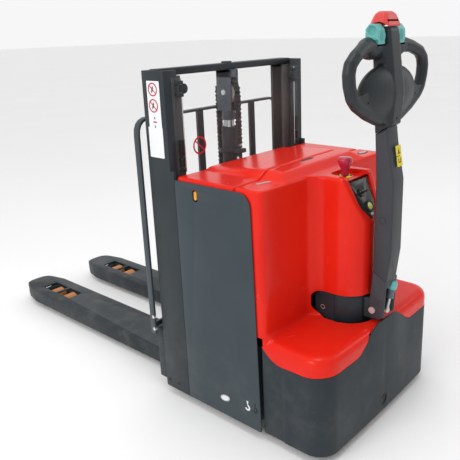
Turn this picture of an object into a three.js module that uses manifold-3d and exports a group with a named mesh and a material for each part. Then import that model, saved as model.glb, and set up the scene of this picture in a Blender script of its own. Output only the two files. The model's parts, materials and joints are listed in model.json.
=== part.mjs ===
// Electric pedestrian stacker truck: a low duplex mast, forks over support legs, a moulded power head
// and a tiller. Millimetres, +Z up, +Y towards the fork tips, +X to the truck's right. The numbers below
// are measured from the mast's fork-side face; the last lines move the origin to the middle of the base.
import * as THREE from 'three';
import { mergeVertices } from 'three/addons/utils/BufferGeometryUtils.js';
import { ConvexGeometry } from 'three/addons/geometries/ConvexGeometry.js';
import Module from 'manifold-3d';

const wasm = await Module();
wasm.setup();

// ---- driving dimensions -------------------------------------------------------------------------
const gap = 0.3;                       // clearance kept between touching pieces
const body = { half: 378, clearance: 31, panelTop: 886, panel: 5, panelRear: -483, panelRound: 40 };
const mast = { top: 1240, depth: 109, web: 12, flange: 14, reach: 60, weldLine: 906, footRear: -127 };
const innerRail = { outer: 350, inner: 284, front: -20, rear: -89, wall: 12, bottom: 45, top: 1219 };
const cylinder = { y: -39, outer: 30, bore: 25, rod: 20, bottom: 45.3, top: 1005, rodFoot: 180 };
const chainWheelAt = { z: 1135, radius: 44, bore: 9.3, width: 18 };
const chain = { width: 14, thick: 9, frontEnd: 251, rearEnd: 933 };
const headBlock = { half: 24, cheek: 9, front: -2, rear: -76, bottom: 1060, window: 57 };
const beam = { half: 355, front: -16, rear: -64, bottom: 1219.4, top: 1243 };
const cover = { half: 371, wall: 5, top: 890, front: -131, split: -395, rear: -505, plateau: 915 };
const bulge = { radius: 95, wall: 4, bottom: 250, top: 888 };
const rise = { foot: 250, crown: 205, root: 220, edge: -462, end: -500 };   // the raised middle of the top
const hood = { bottom: 852, bevel: 8 };
const tower = { bottom: 320, round: 14 };
const slot = { bottom: 384, top: 478, end: -512 };
const shelf = { top: 384, inset: 3, bevel: 24 };
const skirt = {
  half: 368, wall: 5, front: -489, rear: -747, corner: 78, bottom: 30, seam: 314, hump: 388, notch: 358,
  towRadius: 21, towHeight: 74,
};
const facet = { tipY: -685, tipZ: 732, lean: 0.467 };      // the sloping face that carries the panel
const steer = { y: -590 };
const stop = { y: -568, stem: 9, bottom: 874, cap: 21, top: 941 };         // the emergency stop
const driveWheel = { radius: 115, half: 38, hub: 78, bevel: 6 };
const tiller = { pivotY: -118, pivotZ: 430, half: 36, wall: 7, bottom: 412 };
const pin = { radius: 8, head: 12, headDepth: 5.5 };
const head = { y: -131, grip: 18, reach: 220, lobe: 78 };
const belly = { bottom: 1364, top: 1402 };
const keyPads = { front: -678, rear: -687.5, half: 12, heights: [1274, 1234] };
const thumb = { y: -706, z: 1332, disc: 17, reach: 25, inner: 33, outer: 78 };
const fork = {
  centre: 190, half: 90, heel: 52, tip: 1278, taper: 1150, tipHalf: 62, tipRound: 48, rise: 1225, top: 90,
  bottom: 25, wall: 8, windowHalf: 38, windows: [[908, 1013], [1029, 1140]],
};
const leg = { half: 60, rear: -94.6, tip: 1150, bottom: 32, top: 76, slotHalf: 38, slot: [912, 1130] };
const roller = { radius: 41, half: 32, axle: 9, bevel: 4, y: [965, 1075] };
const carriage = { plate: 355, thick: 11, front: 50, rear: 5, bottom: 50, top: 265 };
const backrest = {
  outer: 393.2, thick: 9, rear: 25.5, front: 50.5, bottom: 250, top: 1078, round: 60,
  bars: [-228, -76, 76, 228], barWidth: 32, barThick: 10, lowBar: [272, 292],
};
const castor = {
  x: 255, y: -600, radius: 50, half: 20, trail: 30, axle: 6, top: 139.6, plateHalf: 34, cheek: 5,
};

// ---- finishes -----------------------------------------------------------------------------------
const finish = (color, roughness, metalness) => new THREE.MeshStandardMaterial(
  { color, roughness, metalness });
const steelGrey = () => finish(0x3a434a, 0.5, 0.3);
const railGrey = () => finish(0x2b2f33, 0.45, 0.5);
const panelGrey = () => finish(0x47525a, 0.5, 0.1);
const coverRed = () => finish(0xe2261c, 0.22, 0);
const blackPlastic = () => finish(0x23272a, 0.5, 0);
const headPlastic = () => finish(0x34393d, 0.55, 0);
const brightSteel = () => finish(0xb8bcc0, 0.25, 1);
const castGrey = () => finish(0x55595c, 0.6, 0.4);
const polyurethane = () => finish(0xb5622c, 0.5, 0);
const turquoise = () => finish(0x46b8b4, 0.4, 0);
const clearSheet = () => finish(0xe8eeee, 0.1, 0);

// ---- shape helpers ------------------------------------------------------------------------------
const point = (x, y) => new THREE.Vector2(x, y);

// A closed outline of straight stretches; a corner given as [x, y, r] is rounded to radius r.
function outline(corners) {
  const shape = new THREE.Shape();
  const count = corners.length;
  corners.forEach(([x, y, r = 0], i) => {
    const here = point(x, y);
    const before = point(...corners[(i + count - 1) % count].slice(0, 2));
    const after = point(...corners[(i + 1) % count].slice(0, 2));
    const start = here.clone().add(before.sub(here).setLength(r));
    const end = here.clone().add(after.sub(here).setLength(r));
    if (i === 0) shape.moveTo(start.x, start.y);
    else shape.lineTo(start.x, start.y);
    if (r > 0) shape.quadraticCurveTo(x, y, end.x, end.y);
  });
  shape.closePath();
  return shape;
}

// Which way an extrusion runs: its outline lies in the two other axes, taken in X, Y, Z order.
const basis = {
  x: new THREE.Matrix4().makeBasis(
    new THREE.Vector3(0, 1, 0), new THREE.Vector3(0, 0, 1), new THREE.Vector3(1, 0, 0)),
  y: new THREE.Matrix4().makeBasis(
    new THREE.Vector3(1, 0, 0), new THREE.Vector3(0, 0, 1), new THREE.Vector3(0, -1, 0)),
  z: new THREE.Matrix4(),
};

function extrude(shape, axis, from, to, options = {}) {
  const bevel = options.bevel ?? 0;
  const depth = to - from - 2 * bevel;
  const geometry = new THREE.ExtrudeGeometry(shape, {
    depth,
    steps: 1,
    curveSegments: options.segments ?? 5,
    bevelEnabled: bevel > 0,
    bevelSize: bevel,
    bevelThickness: bevel,
    bevelOffset: -bevel,
    bevelSegments: options.bevelSegments ?? 2,
  });
  geometry.translate(0, 0, bevel);
  geometry.applyMatrix4(basis[axis]);
  const shift = axis === 'y' ? to : from;
  geometry.translate(axis === 'x' ? shift : 0, axis === 'y' ? shift : 0, axis === 'z' ? shift : 0);
  return geometry;
}

function box(x0, x1, y0, y1, z0, z1) {
  const geometry = new THREE.BoxGeometry(x1 - x0, y1 - y0, z1 - z0);
  return geometry.translate((x0 + x1) / 2, (y0 + y1) / 2, (z0 + z1) / 2);
}

// A round bar along an axis, from one place on it to another, through (a, b) on the two other axes.
function rod(axis, radius, from, to, a = 0, b = 0, segments = 24) {
  const geometry = new THREE.CylinderGeometry(radius, radius, to - from, segments);
  const middle = (from + to) / 2;
  if (axis === 'x') return geometry.rotateZ(-Math.PI / 2).translate(middle, a, b);
  if (axis === 'y') return geometry.translate(a, middle, b);
  return geometry.rotateX(Math.PI / 2).translate(a, b, middle);
}

// A solid turned about Z from [radius, z] pairs that close on themselves.
function turned(profile, segments = 32) {
  const points = profile.map(([r, z]) => point(r, z));
  points.push(points[0].clone());
  return new THREE.LatheGeometry(points, segments).rotateX(Math.PI / 2);
}

// The same, about X.
const turnedX = (profile, segments) => turned(profile, segments).rotateY(Math.PI / 2);

const corner = (values) => new THREE.Vector3(...values);
const hull = (corners) => new ConvexGeometry(corners.map(corner));

function tube(points, radius, steps, sides) {
  const route = new THREE.CatmullRomCurve3(points.map(corner), false, 'centripetal');
  const section = new THREE.Shape().absarc(0, 0, radius, 0, 2 * Math.PI);
  return new THREE.ExtrudeGeometry(section, {
    extrudePath: route, steps, curveSegments: sides / 2, bevelEnabled: false,
  });
}

function solid(geometry) {
  const plain = geometry.clone();
  plain.deleteAttribute('normal');
  plain.deleteAttribute('uv');
  const merged = mergeVertices(plain, 1e-4);
  const vertProperties = new Float32Array(merged.attributes.position.array);
  const triVerts = new Uint32Array(merged.index.array);
  return new wasm.Manifold(new wasm.Mesh({ numProp: 3, vertProperties, triVerts }));
}

function surface(manifold) {
  const mesh = manifold.getMesh();
  const geometry = new THREE.BufferGeometry();
  geometry.setAttribute('position', new THREE.BufferAttribute(mesh.vertProperties, 3));
  geometry.setIndex(new THREE.BufferAttribute(mesh.triVerts, 1));
  return geometry;
}

const joined = (...pieces) => surface(pieces.map(solid).reduce((all, next) => all.add(next)));
const cut = (piece, ...tools) => surface(
  tools.map(solid).reduce((rest, tool) => rest.subtract(tool), solid(piece)));
const common = (first, second) => surface(solid(first).intersect(solid(second)));

// Turns a shape made for the truck's right side into the left one.
function mirrored(geometry) {
  const flipped = geometry.clone().scale(-1, 1, 1);
  const { array } = flipped.index;
  for (let i = 0; i < array.length; i += 3) {
    [array[i], array[i + 1]] = [array[i + 1], array[i]];
  }
  return flipped;
}

// ---- the scene graph ----------------------------------------------------------------------------
const truck = new THREE.Group();
const steering = new THREE.Group();
const arm = new THREE.Group();
steering.position.set(0, steer.y, 0);
arm.position.set(0, tiller.pivotY, tiller.pivotZ);
truck.add(steering);
steering.add(arm);

function place(parent, name, geometry, material) {
  const mesh = new THREE.Mesh(geometry, material);
  mesh.name = name;
  parent.add(mesh);
  return mesh;
}

function placePair(parent, name, geometry, material) {
  const whole = surface(solid(geometry));
  place(parent, `right_${name}`, whole, material());
  place(parent, `left_${name}`, mirrored(whole), material());
}

const sides = [['right', 1], ['left', -1]];
const inOrder = (a, b) => [Math.min(a, b), Math.max(a, b)];

// ---- chassis ------------------------------------------------------------------------------------
const bay = {
  half: 360, front: -116, bulkhead: -126, rear: -450, wall: -460, floor: 55, floorTop: 65, top: 840,
};
const deck = { rear: -690, bottom: 330, top: 345, half: 335, hole: 75 };
const castorDeck = { rear: -680, bottom: 140, top: 150, inner: 175, rib: 10, ribRear: -600 };
const cheek = { middle: 355, half: 5, top: 200 };

function chassisFrame() {
  const floor = box(-bay.half, bay.half, bay.rear, bay.front, bay.floor, bay.floorTop);
  const bulkhead = box(-bay.half, bay.half, bay.bulkhead, bay.front, bay.floor, bay.top);
  const rearWall = box(-bay.half, bay.half, bay.wall, bay.rear, bay.floor, deck.top);
  const topDeck = box(-deck.half, deck.half, deck.rear, bay.rear, deck.bottom, deck.top);
  const shelves = [1, -1].flatMap((side) => {
    const shelfEnds = inOrder(side * castorDeck.inner, side * deck.half);
    const ribEnds = inOrder(side * (deck.half - castorDeck.rib), side * deck.half);
    const cheekEnds = [side * cheek.middle - cheek.half, side * cheek.middle + cheek.half];
    return [
      box(...shelfEnds, castorDeck.rear, bay.rear, castorDeck.bottom, castorDeck.top),
      box(...ribEnds, castorDeck.ribRear, bay.rear, castorDeck.bottom, deck.top),
      box(...cheekEnds, bay.rear, bay.front, bay.floor, cheek.top),
    ];
  });
  const bearingHole = rod('z', deck.hole, deck.bottom - 5, deck.top + 5, 0, steer.y, 32);
  return cut(joined(floor, bulkhead, rearWall, topDeck, ...shelves), bearingHole);
}

function sidePanel() {
  const front = mast.footRear - 2 * gap;
  const sheet = outline([
    [front, body.clearance], [body.panelRear, body.clearance],
    [body.panelRear, body.panelTop, body.panelRound], [front, body.panelTop],
  ]);
  return extrude(sheet, 'x', body.half - body.panel, body.half, { segments: 8 });
}

place(truck, 'chassis_frame', chassisFrame(), steelGrey());
placePair(truck, 'side_panel', sidePanel(), panelGrey);

// ---- outer mast ---------------------------------------------------------------------------------
function outerRail() {
  const inside = body.half - mast.web;
  const lip = body.half - mast.reach;
  const channel = outline([
    [lip, 0], [lip, -mast.flange], [inside, -mast.flange], [inside, mast.flange - mast.depth],
    [lip, mast.flange - mast.depth], [lip, -mast.depth], [body.half, -mast.depth], [body.half, 0],
  ]);
  const upright = extrude(channel, 'z', body.clearance, mast.top);
  const foot = box(inside, body.half, mast.footRear, -mast.depth + 1, body.clearance, mast.weldLine);
  return joined(upright, foot);
}

const baseTie = { front: -95, webTop: 44, upperHalf: 280, upperTop: 90, seatHalf: 50, seatFront: -5 };

function mastBaseTie() {
  const inside = body.half - mast.reach - gap;
  const { front, webTop, upperHalf, upperTop, seatHalf, seatFront } = baseTie;
  const web = box(-inside, inside, -mast.depth, front, body.clearance, webTop);
  const upper = box(-upperHalf, upperHalf, -mast.depth, front, webTop - 4, upperTop);
  const seat = box(-seatHalf, seatHalf, front - 1, seatFront, body.clearance, cylinder.bottom - gap);
  return joined(web, upper, seat);
}

function liftCylinderTube() {
  const outside = rod('z', cylinder.outer, cylinder.bottom, cylinder.top, 0, cylinder.y);
  const bore = rod('z', cylinder.bore, cylinder.rodFoot - 30, cylinder.top + 5, 0, cylinder.y);
  return cut(outside, bore);
}

const anchor = { bottom: 905, top: 920, collar: 42, plateHalf: 20, plateRear: -106, boltBack: 8 };

function chainAnchor() {
  const { bottom, top, plateHalf } = anchor;
  const boltY = cylinder.y - chainWheelAt.radius - anchor.boltBack;
  const collar = rod('z', anchor.collar, bottom, top, 0, cylinder.y, 32);
  const plate = box(-plateHalf, plateHalf, anchor.plateRear, cylinder.y - cylinder.outer - 1, bottom, top);
  const bore = rod('z', cylinder.outer + gap, bottom - 5, top + 5, 0, cylinder.y);
  const bolt = rod('z', 5, bottom - 43, chain.rearEnd - 1, 0, boltY, 10);
  const nut = rod('z', 9, bottom - 15, bottom + 1, 0, boltY, 6);
  return cut(joined(collar, plate, bolt, nut), bore);
}

placePair(truck, 'outer_rail', outerRail(), steelGrey);
place(truck, 'mast_base_tie', mastBaseTie(), steelGrey());
const guard = { half: 345, rear: -113, front: -110, bottom: 852, top: 1215 };
const rearTie = { rear: -115.5, bottom: 780, top: 850 };
const rearTieBar = box(
  -guard.half, guard.half, rearTie.rear, -mast.depth - gap, rearTie.bottom, rearTie.top);
place(truck, 'mast_rear_tie', rearTieBar, steelGrey());
place(truck, 'lift_cylinder_tube', liftCylinderTube(), steelGrey());
place(truck, 'chain_anchor_bracket', chainAnchor(), steelGrey());
const guardSheet = box(-guard.half, guard.half, guard.rear, guard.front, guard.bottom, guard.top);
place(truck, 'mast_guard_panel', guardSheet, clearSheet());

// ---- inner mast, with its beam, ram and chain wheel -----------------------------------------------
function innerRailShape() {
  const web = innerRail.outer - innerRail.wall;
  const channel = outline([
    [innerRail.inner, innerRail.front], [innerRail.inner, innerRail.front - innerRail.wall],
    [web, innerRail.front - innerRail.wall], [web, innerRail.rear + innerRail.wall],
    [innerRail.inner, innerRail.rear + innerRail.wall], [innerRail.inner, innerRail.rear],
    [innerRail.outer, innerRail.rear], [innerRail.outer, innerRail.front],
  ]);
  return extrude(channel, 'z', innerRail.bottom, innerRail.top);
}

function topBeam() {
  const bar = box(-beam.half, beam.half, beam.rear, beam.front, beam.bottom, beam.top);
  const boss = rod('z', cylinder.rod, beam.top - 2, beam.top + 6, 0, cylinder.y);
  return joined(bar, boss);
}

function chainHeadBlock() {
  const block = box(-headBlock.half, headBlock.half, headBlock.rear, headBlock.front, headBlock.bottom,
    beam.bottom - gap);
  const pocket = headBlock.half - headBlock.cheek;
  const window = box(-pocket, pocket, headBlock.rear - 5, headBlock.front + 5,
    chainWheelAt.z - headBlock.window, chainWheelAt.z + headBlock.window);
  const pinHole = rod('x', chainWheelAt.bore, -40, 40, cylinder.y, chainWheelAt.z);
  return cut(block, window, pinHole);
}

function chainWheel() {
  const { bore, radius, width } = chainWheelAt;
  const half = width / 2;
  const bossEnd = half + 3;
  const bossRadius = 16;
  const groove = radius - 5;
  const wheel = turnedX([
    [bore, -bossEnd], [bossRadius, -bossEnd], [bossRadius, -half], [radius, -half], [groove, 4 - half],
    [groove, half - 4], [radius, half], [bossRadius, half], [bossRadius, bossEnd], [bore, bossEnd],
  ], 20);
  return wheel.translate(0, cylinder.y, chainWheelAt.z);
}

// The two hanging runs of chain, each with the quarter turn that it lays over the wheel.
function chainRun(side, bottom) {
  const half = chain.width / 2;
  const inner = chainWheelAt.radius + 0.5;
  const outer = inner + chain.thick;
  const wrap = new THREE.Shape();
  wrap.absarc(0, 0, outer, 0, Math.PI / 2, false);
  wrap.absarc(0, 0, inner, Math.PI / 2, 0, true);
  wrap.lineTo(inner, bottom - chainWheelAt.z);
  wrap.lineTo(outer, bottom - chainWheelAt.z);
  const run = extrude(wrap, 'x', -half, half, { segments: 8 });
  const turnedRun = side > 0 ? run : run.rotateZ(Math.PI).translate(0, -gap, 0);
  return surface(solid(turnedRun.translate(0, cylinder.y, chainWheelAt.z)));
}

placePair(truck, 'inner_rail', innerRailShape(), railGrey);
place(truck, 'inner_mast_top_beam', topBeam(), steelGrey());
place(truck, 'chain_head_block', chainHeadBlock(), steelGrey());
place(truck, 'chain_wheel_pin', rod('x', 9, -27, 27, cylinder.y, chainWheelAt.z), brightSteel());
place(truck, 'chain_wheel', chainWheel(), brightSteel());
const liftRod = rod('z', cylinder.rod, cylinder.rodFoot, headBlock.bottom - gap, 0, cylinder.y);
place(truck, 'lift_rod', liftRod, brightSteel());
place(truck, 'lift_chain_front_run', chainRun(1, chain.frontEnd), railGrey());
place(truck, 'lift_chain_rear_run', chainRun(-1, chain.rearEnd), railGrey());

// ---- carriage, load backrest and forks ------------------------------------------------------------
const crossBar = { rear: 30, low: [95, 145], high: [215, 265] };
const chainLug = { half: 18, rear: 2, bottom: 225, top: 250 };
const rollerArm = { inner: 268, outer: 280, rear: -78 };
const mastRoller = { radius: 21, inner: 290, outer: 333, stub: 10, y: -54.5, heights: [125, 235] };

function carriageFrame() {
  const { plate, thick, front, rear, bottom, top } = carriage;
  const pieces = [crossBar.low, crossBar.high].map((heights) => box(
    -plate - 1, plate + 1, crossBar.rear, front, ...heights));
  pieces.push(box(
    -chainLug.half, chainLug.half, chainLug.rear, crossBar.rear + 1, chainLug.bottom, chainLug.top));
  [1, -1].forEach((side) => {
    const across = (inner, outer) => inOrder(side * inner, side * outer);
    pieces.push(box(...across(plate, plate + thick), rear, front, bottom, top));
    pieces.push(box(
      ...across(rollerArm.inner, rollerArm.outer), rollerArm.rear, front, crossBar.low[0], top));
    mastRoller.heights.forEach((z) => {
      const { radius, inner, outer, stub, y } = mastRoller;
      pieces.push(rod('x', stub, ...across(rollerArm.inner + 7, inner + 2), y, z, 12));
      pieces.push(rod('x', radius, ...across(inner, outer), y, z, 20));
    });
  });
  return joined(...pieces);
}

function loadBackrest() {
  const { outer, thick, rear, front, bottom, top, round, bars, barWidth, barThick, lowBar } = backrest;
  const inner = outer - thick;
  const under = top - thick;
  const hoop = extrude(outline([
    [-outer, bottom], [-outer, top, round], [outer, top, round], [outer, bottom], [inner, bottom],
    [inner, under, round - thick], [-inner, under, round - thick], [-inner, bottom],
  ]), 'y', rear, front);
  const faces = [front - barThick - 2, front - 2];
  const across = box(-inner - 1, inner + 1, ...faces, ...lowBar);
  const uprights = bars.map((x) => box(x - barWidth / 2, x + barWidth / 2, ...faces, lowBar[0] + 8, under + 2));
  return joined(hoop, across, ...uprights);
}

function forkPlan(inset, heel) {
  const { centre, half, tipHalf, tip, taper, tipRound } = fork;
  const wide = half - inset;
  const narrow = tipHalf - inset;
  const end = tip - 2 * inset;
  const round = tipRound - inset;
  return outline([
    [centre - wide, heel], [centre + wide, heel], [centre + wide, taper], [centre + narrow, end, round],
    [centre - narrow, end, round], [centre - wide, taper],
  ]);
}

function forkShape() {
  const { centre, half, heel, tip, top, bottom, wall, rise, windowHalf, windows } = fork;
  const block = extrude(forkPlan(0, heel), 'z', bottom, top, { segments: 6 });
  const shank = box(centre - half + 6, centre + half - 6, heel, heel + 14, top - 10, carriage.top - 5);
  const hollow = extrude(forkPlan(wall, 0), 'z', 0, top - wall, { segments: 6 });
  const underTip = hull([
    [rise, 0], [tip + 100, 0], [tip + 100, top + 20], [tip + 3, 66], [rise, bottom - 4],
  ].flatMap(([y, z]) => [[0, y, z], [2 * centre, y, z]]));
  const openings = windows.map((ends) => box(
    centre - windowHalf, centre + windowHalf, ...ends, top - wall - 7, top + 10));
  return cut(joined(block, shank), hollow, underTip, ...openings);
}

function supportLeg() {
  const plan = outline([
    [fork.centre - leg.half, leg.rear], [fork.centre + leg.half, leg.rear],
    [fork.centre + leg.half, leg.tip, 25], [fork.centre - leg.half, leg.tip, 25],
  ]);
  const rail = extrude(plan, 'z', leg.bottom, leg.top, { segments: 4 });
  const pocket = box(fork.centre - leg.slotHalf, fork.centre + leg.slotHalf, ...leg.slot, 0, 100);
  return cut(rail, pocket);
}

function loadRoller(side, y) {
  const { radius, half, axle, bevel } = roller;
  const end = leg.slotHalf - 0.5;
  const profile = [
    [0, -end], [axle, -end], [axle, -half], [radius - bevel, -half], [radius, bevel - half],
    [radius, half - bevel], [radius - bevel, half], [axle, half], [axle, end], [0, end],
  ];
  return turnedX(profile, 20).translate(side * fork.centre, y, radius);
}

place(truck, 'carriage_frame', carriageFrame(), steelGrey());
place(truck, 'load_backrest', loadBackrest(), steelGrey());
placePair(truck, 'fork', forkShape(), steelGrey);
placePair(truck, 'support_leg', supportLeg(), steelGrey);
sides.forEach(([name, side]) => {
  place(truck, `${name}_rear_load_roller`, loadRoller(side, roller.y[0]), polyurethane());
  place(truck, `${name}_front_load_roller`, loadRoller(side, roller.y[1]), polyurethane());
});

// ---- covers -------------------------------------------------------------------------------------
const wide = 900;                      // past every cut piece

// The plan of the rounded rear end, drawn anticlockwise from the front right, set in from the outside.
function rearPlan(inset, front) {
  const half = skirt.half - inset;
  const rear = skirt.rear + inset;
  const round = skirt.corner - inset;
  return outline([
    [half, front], [-half, front], [-half, rear + 6, round], [0, rear, 120], [half, rear + 6, round],
  ]);
}

// Everything above the seam between the red moulding and the dark skirt, lifted by a clearance.
function aboveSeam(lift) {
  const { seam, hump, notch } = skirt;
  const rearEdge = outline([
    [-400, seam], [-165, seam + 8, 30], [-108, hump, 16], [-50, hump], [-50, notch], [50, notch],
    [50, hump], [108, hump, 16], [165, seam + 8, 30], [400, seam], [400, wide], [-400, wide],
  ]);
  const sideEdge = outline([
    [-561, seam + 2], [-524, seam + 10, 20], [-494, seam + 30, 12], [-485, 392], [-485, wide], [-561, wide],
  ]);
  const rearPart = extrude(rearEdge, 'y', -800, -560, { segments: 4 });
  const sidePart = extrude(sideEdge, 'x', -400, 400, { segments: 4 });
  return joined(rearPart, sidePart).translate(0, 0, lift);
}

function bumperSkirt() {
  const outside = extrude(rearPlan(0, skirt.front), 'z', skirt.bottom, skirt.hump + 20, { segments: 8 });
  const inside = extrude(rearPlan(skirt.wall, skirt.front + 5), 'z', 0, wide, { segments: 8 });
  const towHole = rod('y', skirt.towRadius, -800, -700, 0, skirt.towHeight, 20);
  return cut(outside, inside, aboveSeam(0), towHole);
}

function bulgePlan(radius) {
  const shape = new THREE.Shape();
  shape.moveTo(radius, cover.rear + 30);
  shape.lineTo(-radius, cover.rear + 30);
  shape.absarc(0, steer.y, radius, Math.PI, 2 * Math.PI, false);
  shape.closePath();
  return shape;
}

// The raised middle of the top face: a wedge that grows from the mast towards the split line.
function plateauWedge(inset, rear) {
  const { front, top } = cover;
  const { foot, crown } = rise;
  return hull([-1, 1].flatMap((side) => [
    [side * (foot - inset), front, top - 3 - inset],
    [side * crown, front, top + 6 - inset],
    [side * (foot - inset), rear, top - 3 - inset],
    [side * (crown - inset / 2), rear, cover.plateau - inset],
    [side * rise.root, front, top - 20],
    [side * rise.root, rear, top - 20],
  ]));
}

// Its level part behind the split, which falls back to the top face.
function plateauFlat(inset) {
  const { split, top } = cover;
  const { foot, crown } = rise;
  const ledge = [split, rise.edge].map((y) => [y, crown - inset / 2, cover.plateau - inset]);
  const base = [split, rise.end + inset].flatMap((y) => [
    [y, foot - inset, top - 3 - inset],
    [y, rise.root, top - 20],
  ]);
  return hull([...ledge, ...base].flatMap(([y, x, z]) => [[-x, y, z], [x, y, z]]));
}

function pumpHood() {
  const { half, front, wall, top } = cover;
  const rear = cover.split + 0.8;
  const plan = outline([[half, front], [-half, front], [-half, rear], [half, rear]]);
  const lid = cut(extrude(plan, 'z', hood.bottom - 22, top, { bevel: hood.bevel }), box(
    -wide, wide, -wide, 0, hood.bottom - 30, hood.bottom));
  const squareRear = box(hood.bevel - half, half - hood.bevel, rear, rear + 20, hood.bottom, top);
  const outer = joined(lid, squareRear, plateauWedge(0, rear));
  const cavity = box(wall - half, half - wall, rear - 10, front - wall, hood.bottom - 50, top - wall);
  const riseRoom = common(plateauWedge(wall, rear), box(-wide, wide, rear - 10, front - wall, 0, 2 * wide));
  return cut(outer, cavity, riseRoom);
}

// The half space outside the sloping face, moved along its normal.
function beyondFacet(offset) {
  const half = 400;
  const block = box(-half, half, -half, offset, -half, half);
  return block.rotateX(-facet.lean).translate(0, facet.tipY, facet.tipZ);
}

// The outside of the moulding: the square tower, its raised top, the rounded column and the shelf.
function frontCoverOutside() {
  const { half, rear, split, top } = cover;
  const plan = outline([
    [half, split], [-half, split], [-half, rear, tower.round], [half, rear, tower.round],
  ]);
  const block = cut(extrude(plan, 'z', tower.bottom - 100, top, { bevel: hood.bevel, segments: 4 }), box(
    -wide, wide, -wide, wide, 0, tower.bottom));
  const squareFront = box(hood.bevel - half, half - hood.bevel, split - 20, split, tower.bottom, top);
  const column = extrude(bulgePlan(bulge.radius), 'z', bulge.bottom, bulge.top, { bevel: 6, segments: 16 });
  const rearShelf = extrude(rearPlan(shelf.inset, cover.rear + 25), 'z', bulge.bottom - 10, shelf.top, {
    bevel: shelf.bevel, segments: 8, bevelSegments: 4,
  });
  return joined(block, squareFront, plateauFlat(0), cut(column, beyondFacet(0)), rearShelf);
}

// The rooms inside it, one for each of those.
function frontCoverRooms() {
  const { half, rear, split, top, wall } = cover;
  const towerRoom = box(wall - half, half - wall, rear + wall, split + 10, 100, top - wall);
  const columnRoom = cut(extrude(bulgePlan(bulge.radius - bulge.wall), 'z', 100, bulge.top - bulge.wall, {
    segments: 16,
  }), beyondFacet(bulge.wall));
  const shelfRoom = extrude(rearPlan(shelf.inset + wall, cover.rear + 35), 'z', 100, shelf.top - wall, {
    bevel: shelf.bevel - 4, segments: 8,
  });
  const riseRoom = common(plateauFlat(wall), box(-wide, wide, rear + wall, split + 10, 0, 2 * wide));
  return [towerRoom, columnRoom, shelfRoom, riseRoom];
}

function frontCover() {
  const skirtBand = cut(
    extrude(rearPlan(-5, skirt.front + 5), 'z', 0, 420, { segments: 8 }),
    extrude(rearPlan(skirt.wall + 0.5, skirt.front + 19), 'z', -10, 430, { segments: 8 }));
  const skirtRoom = cut(skirtBand, aboveSeam(2 * gap));
  const steerSlot = common(
    extrude(bulgePlan(bulge.radius + 6), 'z', slot.bottom + 0.1, slot.top),
    box(-wide, wide, -wide, slot.end, 0, wide));
  const yokeHole = extrude(bulgePlan(bulge.radius - bulge.wall), 'z', 300, slot.top - 1, { segments: 16 });
  const stopHole = rod('z', stop.stem + 1, stop.bottom - 4, wide, 0, stop.y, 18);
  const base = box(-wide, wide, -wide, wide, 0, skirt.seam);
  return cut(frontCoverOutside(), ...frontCoverRooms(), skirtRoom, steerSlot, yokeHole, stopHole, base);
}

place(truck, 'bumper_skirt', bumperSkirt(), panelGrey());
place(truck, 'pump_hood', pumpHood(), coverRed());
place(truck, 'front_cover', frontCover(), coverRed());

// ---- controls on the cover ------------------------------------------------------------------------
// Pieces on the sloping face are drawn upright with their back at y = 0, then leaned and set on it.
const onFacet = (geometry) => geometry.rotateX(-facet.lean).translate(0, facet.tipY, facet.tipZ);

const shield = { foot: 14, waist: 60, top: 152, footHalf: 5, waistHalf: 44, half: 60, thick: 3 };
const key = { x: -14, z: 108, barrel: 11, barrelEnd: -9, shank: 4, bowHalf: 10, bowEnd: -32 };
const gauge = { x: 4, z: 56, radius: 19, end: -10 };

function controlPanel() {
  const { foot, waist, top, footHalf, waistHalf, half, thick } = shield;
  const edge = outline([
    [-footHalf, foot, 4], [footHalf, foot, 4], [waistHalf, waist, 20], [half, top, 6], [-half, top, 6],
    [-waistHalf, waist, 20],
  ]);
  const plate = extrude(edge, 'y', -thick - gap, -gap, { segments: 4 });
  const keyHole = rod('y', key.barrel + gap, -10, 5, key.x, key.z, 16);
  return onFacet(cut(plate, keyHole));
}

function keySwitch() {
  const barrel = rod('y', key.barrel, key.barrelEnd, -gap, key.x, key.z, 16);
  const keyway = rod('y', key.shank + gap, key.bowEnd, -5, key.x, key.z, 12);
  return onFacet(cut(barrel, keyway));
}

function ignitionKey() {
  const shank = rod('y', key.shank, key.barrelEnd - 5, -5.4, key.x, key.z, 12);
  const bow = box(
    key.x - key.bowHalf, key.x + key.bowHalf, key.bowEnd, key.barrelEnd - 4, key.z - 2, key.z + 2);
  return onFacet(joined(shank, bow));
}

function batteryGauge() {
  return onFacet(rod('y', gauge.radius, gauge.end, -shield.thick - 2 * gap, gauge.x, gauge.z, 24));
}

function stopButton() {
  const { bottom, stem, cap, top } = stop;
  const profile = [
    [0, bottom], [stem, bottom], [stem, top - 39], [cap - 4, top - 35], [cap, top - 16], [cap - 2, top - 5],
    [cap - 9, top - 1], [0, top],
  ];
  return turned(profile, 18).translate(0, stop.y, 0);
}

place(truck, 'control_panel', controlPanel(), blackPlastic());
place(truck, 'key_switch', keySwitch(), brightSteel());
place(truck, 'ignition_key', ignitionKey(), brightSteel());
place(truck, 'battery_gauge', batteryGauge(), brightSteel());
place(truck, 'emergency_stop_button', stopButton(), finish(0xc41e3a, 0.3, 0));

// ---- pieces inside the body -----------------------------------------------------------------------
const batteryBox = { half: 312, rear: -350, front: -140, top: 640 };
const topShelf = { bottom: batteryBox.top + 2, rear: -350, front: -150, middle: -250 };

function hydraulicPowerUnit() {
  const tank = box(-310, -90, topShelf.rear, topShelf.front, topShelf.bottom, 780);
  const pump = rod('x', 45, -95, 60, topShelf.middle, 700, 20);
  const motor = rod('x', 56, 30, 210, topShelf.middle, 702, 20);
  return joined(tank, pump, motor);
}

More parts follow.
